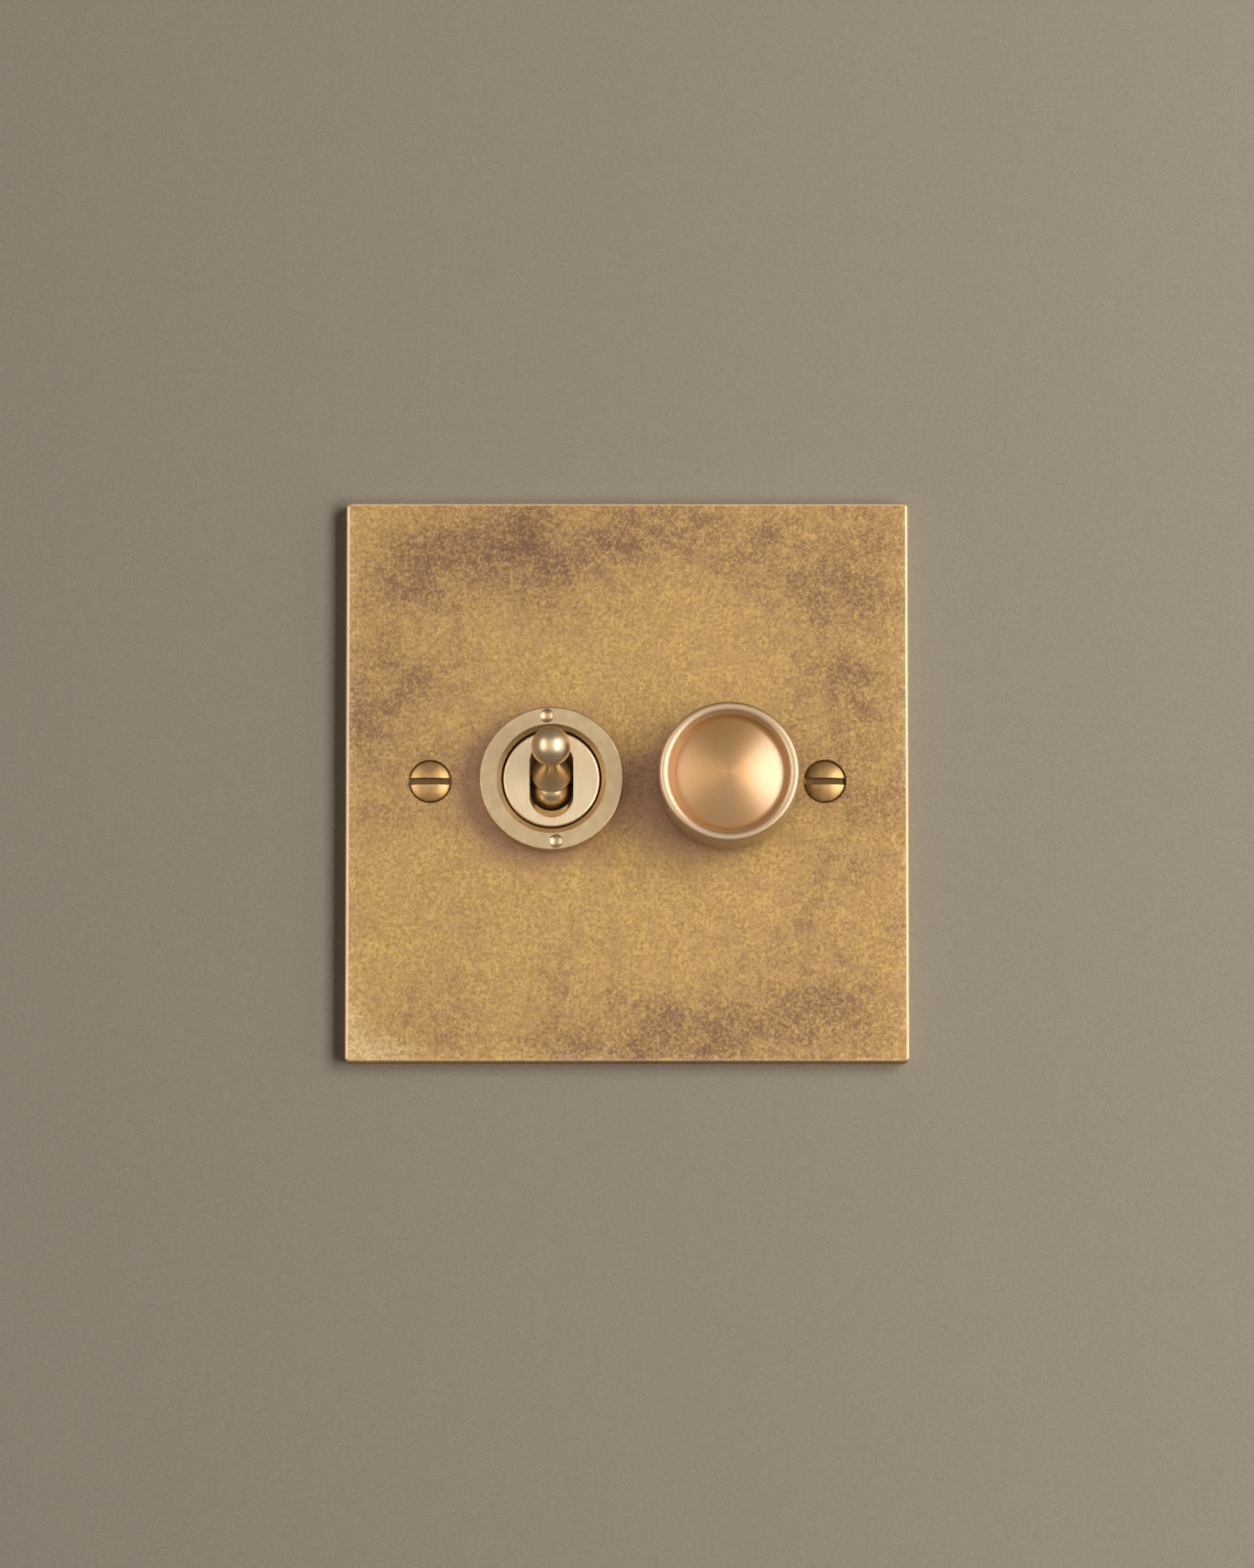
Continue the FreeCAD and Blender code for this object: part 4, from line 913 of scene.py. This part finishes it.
# Width of the pale edge line, which is partly wear and partly a painted highlight.
WORN_AND_HIGHLIGHT_LINE_WIDTH = 0.65 * MM
SINK_DARKENING_DEPTH = 0.2 * MM


def patches_mask(tree, place, patches, mask):
    """Adds soft ovals to a mask and keeps it between 0 and 1."""
    for x, z, width, height, share in patches:
        patch = place_effect(
            tree, SOFT_PATCH, Vector=place, Centre_X=x * MM, Centre_Z=z * MM,
            Half_Width=width * MM, Half_Height=height * MM,
        )
        mask = plus(tree, mask, times(tree, patch, share))
    return calculate(tree, "ADD", mask, 0.0, clamp=True)


def past_edge(tree, depth, ahead, behind):
    """Changes from one value to another just behind the plate's rounded front edge."""
    start = PLATE_LOW.y + PLATE_EDGE
    return spread(tree, depth, start, start + PLATE_EDGE, ahead, behind)


def worn_and_highlight_line(tree, place):
    """Mask of the pale line along the plate's edges, partly wear and partly a painted highlight, strongest
    at its sides and faint below.
    """
    parts = split(tree, place)
    half = PLATE_HIGH.x
    start = half - WORN_AND_HIGHLIGHT_LINE_WIDTH
    full = half - 0.4 * WORN_AND_HIGHLIGHT_LINE_WIDTH
    sides = spread(tree, size_of(tree, parts["X"]), start, full, 0.0, 0.85)
    ends = spread(tree, size_of(tree, parts["Z"]), start, full)
    ends = times(tree, ends, spread(tree, parts["Z"], -half, half, 0.3, 0.75))
    return larger(tree, sides, ends)


def rubbed_band(tree, place, mottle):
    """Mask of the ragged pale band that handling leaves at the sides and below, wide at one corner."""
    parts = split(tree, place)
    half = PLATE_HIGH.x
    ragged = spread(tree, noise(tree, place, 700.0, 8.0, 0.8), 0.3, 0.7, -RUB_WIDTH, RUB_WIDTH)
    corner = patches_mask(tree, place, [CORNER_PATCH], 0.0)
    ragged = plus(tree, ragged, times(tree, corner, 2.0 * RUB_WIDTH))
    outward = larger(tree, size_of(tree, parts["X"]), times(tree, parts["Z"], -1.0))
    reach = plus(tree, outward, ragged)
    band = spread(tree, reach, half - 0.5 * RUB_WIDTH, half + 0.8 * RUB_WIDTH)
    band = times(tree, band, spread(tree, mottle, 0.35, 0.65, 0.12, 0.48))
    return times(tree, band, past_edge(tree, parts["Y"], 1.0, 0.0))


def side_tarnish_and_shade(tree, place):
    """Mask of the dull brown sides behind the plate's front edge, partly tarnish and partly painted shade.
    """
    parts = split(tree, place)
    reach = larger(tree, size_of(tree, parts["X"]), size_of(tree, parts["Z"]))
    outer = spread(tree, reach, PLATE_HIGH.x - PLATE_EDGE, PLATE_HIGH.x)
    return times(tree, outer, past_edge(tree, parts["Y"], 0.0, 0.8))


def screw_sink_shade_and_grime(tree, place):
    """Mask of painted shade and dirt in the countersinks round the screw heads, but not at the slots' ends.
    """
    parts = split(tree, place)
    sink_end = PLATE_LOW.y + COUNTERSINK_RADIUS - SCREW_HOLE_RADIUS
    below = spread(tree, parts["Y"], PLATE_LOW.y + 0.2 * SINK_DARKENING_DEPTH, PLATE_LOW.y + SINK_DARKENING_DEPTH)
    above = spread(tree, parts["Y"], sink_end, sink_end + SINK_DARKENING_DEPTH, 1.0, 0.0)
    spots = [(spot.x / MM, spot.z / MM, SINK_DARKENING_REACH, SINK_DARKENING_REACH, 1.0) for spot in screw_places()]
    near = spread(tree, patches_mask(tree, place, spots, 0.0), 0.1, 0.4)
    height = size_of(tree, parts["Z"])
    beside = spread(tree, height, 0.4 * SCREW_SLOT_WIDTH, 0.7 * SCREW_SLOT_WIDTH)
    return times(tree, times(tree, times(tree, below, above), near), beside)


def smear_sideways(tree, shader, amount):
    """Upright brushing draws highlights out sideways."""
    shader.inputs["Anisotropic"].default_value = amount
    lay_tangent(tree, shader, "Z")


def aged_brass():
    """Brushed plate brass under a grainy purple-brown tarnish, rubbed pale along its edges, with painted
    highlights and painted shade.
    """
    material, tree, shader, place = new_material("aged_brass", 1.0, PLATE_ROUGHNESS)
    cloud = noise(tree, place, 130.0, 6.0, 0.65)
    blush = noise(tree, place, 300.0, 6.0, 0.7)
    mottle = noise(tree, place, 1900.0, 4.0, 0.8)
    cover = patches_mask(tree, place, TARNISH_PATCHES, spread(tree, cloud, 0.3, 0.7, -0.12, 0.3))
    shade_and_tarnish_halo = patches_mask(tree, place, HALO_SHADE_AND_TARNISH_PATCHES, spread(tree, cloud, 0.3, 0.7, -0.1, 0.1))
    grains = place_effect(tree, TARNISH, Vector=place, Cover=cover)
    lines = place_effect(tree, BRUSH_LINES, Vector=mapped(tree, place, PLATE_BRUSHING))
    warmth = plus(tree, times(tree, cover, 0.5), spread(tree, blush, 0.35, 0.65, 0.0, 0.5))
    rubbed_and_highlight = larger(tree, worn_and_highlight_line(tree, place), rubbed_band(tree, place, mottle))
    layers = (
        (warmth, GOLD_BLUSH),
        (spread(tree, lines, 0.3, 0.7, 0.0, 0.3), GOLD_BRUSHED),
        (times(tree, shade_and_tarnish_halo, 0.8), HALO_SHADE_AND_TARNISH_BROWN),
        (times(tree, grains, spread(tree, cover, 0.0, 1.0, 0.3, 0.88)), TARNISH_BROWN),
        (rubbed_and_highlight, GOLD_RUBBED_AND_HIGHLIGHT),
        (side_tarnish_and_shade(tree, place), SIDE_TARNISH_AND_SHADE_BROWN),
        (screw_sink_shade_and_grime(tree, place), SINK_SHADE_AND_GRIME_BLACK),
    )
    tint = mix_colours(tree, spread(tree, mottle, 0.38, 0.62), GOLD_DEEP, GOLD_PALE)
    for mask, colour in layers:
        tint = mix_colours(tree, mask, tint, colour)
    tree.links.new(tint, shader.inputs["Base Color"])
    vary_roughness(tree, shader, PLATE_ROUGHNESS, grains, 0.12)
    smear_sideways(tree, shader, 0.3)
    relief = calculate(tree, "SUBTRACT", lines, times(tree, grains, 0.5))
    emboss(tree, shader, relief, 0.006 * MM, 0.5)
    return material


# Finishes of the other pieces. Masks of a turned piece take distances from its own middle or pivot.

PIT_BROWN = (0.36, 0.23, 0.11, 1)
# Painted shade and dirt in the screws' slots.
SLOT_SHADE_AND_DIRT_BROWN = (0.085, 0.038, 0.02, 1)
# Deeper gold below the dolly's ball, partly tarnish and partly painted shade.
NECK_TARNISH_AND_SHADE_GOLD = (0.62, 0.41, 0.18, 1)
# Pale gold of the knob's rim, partly wear and partly a painted highlight.
RIM_WEAR_AND_HIGHLIGHT_GOLD = (0.66, 0.44, 0.235, 1)
# Painted shade on the knob's sides.
KNOB_SIDE_SHADE_BROWN = (0.25, 0.115, 0.05, 1)
KNOB_FRONT_FACE = (KNOB_LOW.y - KNOB_HIGH.y) / 2
LACQUER_ROUGHNESS = 0.3
LACQUER_IOR = 2.1
QUARTER_TURN = 0.25
SCRATCHES = (300.0, 900.0, 5200.0)

# Pale and deep colour, then roughness
METALS = {
    "blackened_steel": ((0.05, 0.045, 0.04, 1), (0.03, 0.027, 0.025, 1), 0.5),
    "bright_brass": ((0.80, 0.62, 0.30, 1), (0.66, 0.48, 0.22, 1), 0.32),
    "contact_silver": ((0.86, 0.85, 0.82, 1), (0.70, 0.69, 0.66, 1), 0.28),
    "plated_steel": ((0.70, 0.70, 0.68, 1), (0.55, 0.55, 0.54, 1), 0.34),
    "heat_sink_aluminium": ((0.76, 0.76, 0.77, 1), (0.64, 0.64, 0.65, 1), 0.42),
}
# Colour and dusty colour, then roughness
MOULDINGS = {
    "black_moulding": ((0.018, 0.018, 0.019, 1), (0.035, 0.034, 0.033, 1), 0.5),
    "white_moulding": ((0.78, 0.76, 0.71, 1), (0.70, 0.68, 0.62, 1), 0.42),
    "component_moulding": ((0.05, 0.05, 0.058, 1), (0.08, 0.08, 0.085, 1), 0.45),
    "circuit_board": ((0.03, 0.17, 0.075, 1), (0.05, 0.23, 0.10, 1), 0.35),
    "ferrite": ((0.07, 0.065, 0.062, 1), (0.11, 0.10, 0.095, 1), 0.55),
}


def slot_shade_and_dirt(tree, place):
    """Mask of painted shade and dirt in the slots of the screw heads."""
    parts = split(tree, place)
    edge = SCREW_SLOT_WIDTH / 2
    slot = spread(tree, size_of(tree, parts["Z"]), edge, edge + SCREW_EDGE, 0.8, 0.0)
    head = spread(tree, parts["Y"], PLATE_LOW.y / 3, 0.0, 1.0, 0.0)
    return times(tree, slot, head)


def rim_wear_and_highlight(tree, local):
    """Mask of the knob's front rim, kept pale by handling and painted paler as a highlight."""
    radius, depth = axis_distance(tree, local)
    inner = KNOB_RIM_INNER_RADIUS
    rim = spread(tree, radius, inner - KNOB_RIM_ROUND / 2, inner, 0.0, 0.85)
    start = KNOB_FRONT_FACE + 2 * KNOB_RIM_ROUND
    return times(tree, rim, spread(tree, depth, start, start + 2 * KNOB_RIM_ROUND, 1.0, 0.0))


def knob_side_shade(tree, local):
    """Mask of painted shade on the knob's sides behind its rim."""
    radius, depth = axis_distance(tree, local)
    outer = spread(tree, radius, KNOB_RADIUS - KNOB_RIM_ROUND, KNOB_RADIUS, 0.0, 0.9)
    start = KNOB_FRONT_FACE + KNOB_RIM_ROUND
    return times(tree, outer, spread(tree, depth, start, start + 2 * KNOB_RIM_ROUND))


def neck_tarnish_and_shade(tree, local):
    """Mask of the dolly below its ball, which fingers don't rub, darkened with painted shade as well."""
    along = add_node(tree, "VectorMath", {"operation": "DOT_PRODUCT"})
    feed(tree, along.inputs[0], local)
    feed(tree, along.inputs[1], DOLLY_AXIS)
    start = DOLLY_NECK_JOINT - DOLLY_NECK_RADIUS / 2
    return spread(tree, along.outputs["Value"], start, start + DOLLY_NECK_RADIUS, 0.6, 0.0)


def flat_brass(name, pale, deep, roughness, brushing, smear=0.0, shade_and_dirt=None):
    """Brushed or satin brass with small pits."""
    material, tree, shader, place = new_material(name, 1.0, roughness)
    lines = place_effect(tree, BRUSH_LINES, Vector=mapped(tree, place, brushing))
    pits = spread(tree, noise(tree, place, 1600.0, 2.0), 0.66, 0.76)
    tint = mix_colours(tree, spread(tree, lines, 0.3, 0.7), deep, pale)
    tint = mix_colours(tree, times(tree, pits, 0.35), tint, PIT_BROWN)
    # Optional painted shade and dirt, such as in the screws' slots.
    if shade_and_dirt:
        tint = mix_colours(tree, shade_and_dirt(tree, place), tint, SLOT_SHADE_AND_DIRT_BROWN)
    tree.links.new(tint, shader.inputs["Base Color"])
    vary_roughness(tree, shader, roughness, lines, 0.12)
    smear_sideways(tree, shader, smear)
    emboss(tree, shader, lines, 0.004 * MM, 0.4)
    return material


def turned_brass(name, pale, deep, roughness, centre, grain, smear, layers, lacquer=0.0):
    """Lathe-turned brass with concentric lines round its own axis. Each layer is a mask and its colour."""
    material, tree, shader, place = new_material(name, 1.0, roughness)
    local = mapped(tree, place, location=tuple(-value for value in centre))
    lines = place_effect(tree, TURNING_LINES, Vector=local, Count=grain)
    cloud = noise(tree, place, 240.0, 3.0)
    speckle = spread(tree, noise(tree, place, 1900.0, 4.0, 0.7), 0.35, 0.65, 0.0, 0.3)
    tint = mix_colours(tree, spread(tree, lines, 0.2, 0.8, 0.2, 0.8), deep, pale)
    tint = mix_colours(tree, spread(tree, cloud, 0.45, 0.8, 0.0, 0.35), tint, deep)
    tint = mix_colours(tree, speckle, tint, tuple(0.8 * value for value in deep))
    for mask_of, colour in layers:
        tint = mix_colours(tree, mask_of(tree, local), tint, colour)
    tree.links.new(tint, shader.inputs["Base Color"])
    vary_roughness(tree, shader, roughness, lines, 0.1)
    shader.inputs["Coat Weight"].default_value = lacquer
    shader.inputs["Coat Roughness"].default_value = LACQUER_ROUGHNESS
    shader.inputs["Coat IOR"].default_value = LACQUER_IOR
    shader.inputs["Anisotropic"].default_value = smear
    shader.inputs["Anisotropic Rotation"].default_value = QUARTER_TURN
    lay_tangent(tree, shader, "Y")
    emboss(tree, shader, lines, 0.003 * MM, 0.3)
    return material


def plain_metal(name, pale, deep, roughness):
    """Stamped, plated or rolled metal with faint clouds and scratches."""
    material, tree, shader, place = new_material(name, 1.0, roughness)
    cloud = noise(tree, place, 420.0, 4.0)
    scratches = place_effect(tree, BRUSH_LINES, Vector=mapped(tree, place, SCRATCHES))
    tint = mix_colours(tree, spread(tree, cloud, 0.35, 0.7), pale, deep)
    tree.links.new(tint, shader.inputs["Base Color"])
    vary_roughness(tree, shader, roughness, scratches, 0.16)
    emboss(tree, shader, scratches, 0.004 * MM, 0.5)
    return material


def moulding(name, colour, dusty, roughness):
    """Moulded plastic with an eroded grain under clouds of faint dust."""
    material, tree, shader, place = new_material(name, 0.0, roughness)
    grain = noise(tree, place, 3200.0, 2.0)
    cloud = noise(tree, place, 140.0, 4.0)
    tint = mix_colours(tree, spread(tree, cloud, 0.4, 0.75), colour, dusty)
    tree.links.new(tint, shader.inputs["Base Color"])
    vary_roughness(tree, shader, roughness, grain, 0.16)
    emboss(tree, shader, grain, 0.02 * MM, 0.4)
    return material


def make_finishes():
    finishes = {
        "aged_brass": aged_brass(),
        "screw_brass": flat_brass(
            "screw_brass", pale=(0.63, 0.385, 0.155, 1), deep=(0.51, 0.295, 0.11, 1),
            roughness=0.42, brushing=(900, 900, 900), shade_and_dirt=slot_shade_and_dirt,
        ),
        "ring_brass": flat_brass(
            "ring_brass", pale=(0.61, 0.45, 0.26, 1), deep=(0.55, 0.40, 0.228, 1),
            roughness=0.36, brushing=(700, 700, 700), smear=0.3,
        ),
        "bush_brass": flat_brass(
            "bush_brass", pale=(0.78, 0.62, 0.41, 1), deep=(0.70, 0.54, 0.34, 1),
            roughness=0.32, brushing=(5200, 900, 260), smear=0.6,
        ),
        "polished_brass": turned_brass(
            "polished_brass", pale=(0.84, 0.665, 0.42, 1), deep=(0.75, 0.57, 0.33, 1),
            roughness=0.38, centre=DOLLY_PIVOT, grain=2600.0, smear=0.0,
            layers=[(neck_tarnish_and_shade, NECK_TARNISH_AND_SHADE_GOLD)],
        ),
        "turned_brass": turned_brass(
            "turned_brass", pale=(0.56, 0.272, 0.052, 1), deep=(0.49, 0.227, 0.034, 1),
            roughness=0.48, centre=middle_of("dimmer_knob"), grain=9000.0, smear=0.35,
            layers=[(rim_wear_and_highlight, RIM_WEAR_AND_HIGHLIGHT_GOLD), (knob_side_shade, KNOB_SIDE_SHADE_BROWN)], lacquer=1.0,
        ),
    }
    for name, look in METALS.items():
        finishes[name] = plain_metal(name, *look)
    for name, look in MOULDINGS.items():
        finishes[name] = moulding(name, *look)
    return finishes


# Putting the finished pieces in place

FINISHES = make_finishes()
SLOTS = {part["node"]: part["material_slot"] for part in frame["record"]["subparts"]}
BODIES = {node: body for body, members in frame["record"]["behaviour"]["bodies"].items() for node in members}
EASED_EDGE = 0.12 * MM
SPRINGS = ("dolly_spring", "push_spring")


def dress(piece, node, finish):
    piece.data.materials.clear()
    piece.data.materials.append(FINISHES[finish])
    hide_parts(node)
    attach(piece, BODIES[node])


def dress_front():
    dress(front_plate(), "front_plate", "aged_brass")
    dress(plate_screws(), "plate_screws", "screw_brass")
    dress(ring_nut(), "ring_nut", "ring_brass")
    dress(toggle_bush(), "toggle_bush", "bush_brass")
    dress(dolly(), "dolly", "polished_brass")
    dress(dimmer_knob(), "dimmer_knob", "turned_brass")


def dress_hidden():
    """Dresses every node that isn't replaced yet. The springs stay as their solids."""
    for node in SLOTS:
        solid = frame["nodes"][node]
        if solid.hide_render:
            continue
        if node in SPRINGS:
            solid.data.materials.clear()
            solid.data.materials.append(FINISHES[SLOTS[node]])
        else:
            dress(eased_copy(node, EASED_EDGE), node, SLOTS[node])


# Picture: wall, lights and camera

WALL_GAP = 0.2 * MM
WALL_SIZE = 3.0
WALL_DEEP = (0.448, 0.377, 0.281, 1)
WALL_PALE = (0.503, 0.428, 0.327, 1)
KEY_TINT = (1.0, 0.985, 0.96)
SHEEN_TINT = (1.0, 0.97, 0.93)
ROOM_TINT = (1.0, 0.98, 0.95, 1)
FRONT_GLOW = 0.62
SIDE_GLOW = 0.2
REAR_GLOW = 0.4
DIFFUSE_SHARE = 0.1
BACKDROP_LEVEL = 0.66


def wall_paint():
    """Fine stippled paint whose back is clear."""
    material, tree, shader, place = new_material("wall_paint", 0.0, 0.7)
    speck = noise(tree, place, 3000.0, 3.0)
    tint = mix_colours(tree, spread(tree, speck, 0.3, 0.7), WALL_DEEP, WALL_PALE)
    tree.links.new(tint, shader.inputs["Base Color"])
    stipple = plus(tree, speck, noise(tree, place, 1100.0, 2.0))
    emboss(tree, shader, stipple, 0.05 * MM, 0.6)
    clear = add_node(tree, "BsdfTransparent")
    facing = add_node(tree, "NewGeometry")
    choice = add_node(tree, "MixShader", Fac=facing.outputs["Backfacing"])
    tree.links.new(shader.outputs[0], choice.inputs[1])
    tree.links.new(clear.outputs[0], choice.inputs[2])
    tree.links.new(choice.outputs[0], tree.nodes["Material Output"].inputs["Surface"])
    return material


def wall():
    """Painted wall just behind the plate."""
    deselect()
    bpy.ops.mesh.primitive_plane_add(
        size=WALL_SIZE, location=(0, PLATE_HIGH.y + WALL_GAP, 0), rotation=(math.pi / 2, 0, 0),
    )
    board = settle("wall")
    board.data.materials.append(wall_paint())
    board.visible_shadow = False


def soft_box(name, azimuth, elevation, width, height, glow, colour=(1, 1, 1)):
    """Lit panel a metre away that faces the plate. Azimuth turns right from the front."""
    turn = math.radians(azimuth)
    tilt = math.radians(elevation)
    lamp = bpy.data.lights.new(name, "AREA")
    lamp.shape = "RECTANGLE"
    lamp.size = width
    lamp.size_y = height
    lamp.energy = glow * math.pi * width * height
    lamp.color = colour
    holder = bpy.data.objects.new(name, lamp)
    holder.location = (math.sin(turn) * math.cos(tilt), -math.cos(turn) * math.cos(tilt), math.sin(tilt))
    holder.rotation_euler = (-holder.location).to_track_quat("-Z", "Y").to_euler()
    holder.visible_camera = False
    bpy.context.scene.collection.objects.link(holder)
    return holder


def lights():
    """Key and a weaker panel on the right, a sheen for reflections on the left, and two lamps behind."""
    soft_box(
        "key_right", azimuth=39, elevation=4, width=0.38, height=1.0, glow=5.9, colour=KEY_TINT,
    )
    soft_box("panel_right", azimuth=70, elevation=6, width=0.40, height=1.2, glow=1.3)
    sheen = soft_box(
        "panel_left", azimuth=-47, elevation=4, width=0.40, height=1.0, glow=3.0, colour=SHEEN_TINT,
    )
    sheen.visible_diffuse = False
    soft_box("rear_high", azimuth=155, elevation=32, width=0.7, height=0.7, glow=4.0)
    soft_box("rear_left", azimuth=-130, elevation=8, width=0.5, height=0.8, glow=3.0)


def room():
    """Dim room with a lighter wall behind the camera and behind the object, on a pale backdrop."""
    world = bpy.data.worlds.new("room")
    world.use_nodes = True
    bpy.context.scene.world = world
    tree = world.node_tree
    ground = tree.nodes["Background"]
    depth = split(tree, add_node(tree, "TexCoord").outputs["Generated"])["Y"]
    front = spread(tree, depth, -0.98, -0.70, FRONT_GLOW, 0.0)
    rear = spread(tree, depth, -0.1, 0.6, SIDE_GLOW, REAR_GLOW)
    ray = add_node(tree, "LightPath")
    shine = spread(tree, ray.outputs["Is Glossy Ray"], 0.0, 1.0, DIFFUSE_SHARE, 1.0)
    level = add_node(tree, "Mix", {"data_type": "FLOAT"})
    feed(tree, level.inputs[0], ray.outputs["Is Camera Ray"])
    feed(tree, level.inputs[2], times(tree, plus(tree, front, rear), shine))
    feed(tree, level.inputs[3], BACKDROP_LEVEL)
    tree.links.new(level.outputs[0], ground.inputs["Strength"])
    ground.inputs["Color"].default_value = ROOM_TINT


def camera():
    lens = bpy.data.cameras.new("picture")
    lens.sensor_width = SENSOR
    lens.lens = SENSOR * VIEW_DISTANCE / VIEW_HEIGHT
    holder = bpy.data.objects.new("picture", lens)
    aim = Vector((-VIEW_AIM_LEFT, PLATE_LOW.y, -VIEW_AIM_DROP))
    away = Vector((0, -math.cos(VIEW_ELEVATION), math.sin(VIEW_ELEVATION)))
    holder.location = aim + away * VIEW_DISTANCE
    holder.rotation_euler = (-away).to_track_quat("-Z", "Y").to_euler()
    bpy.context.scene.collection.objects.link(holder)
    bpy.context.scene.camera = holder


dress_front()
dress_hidden()
wall()
lights()
room()
camera()
bpy.context.scene.view_settings.view_transform = "Standard"
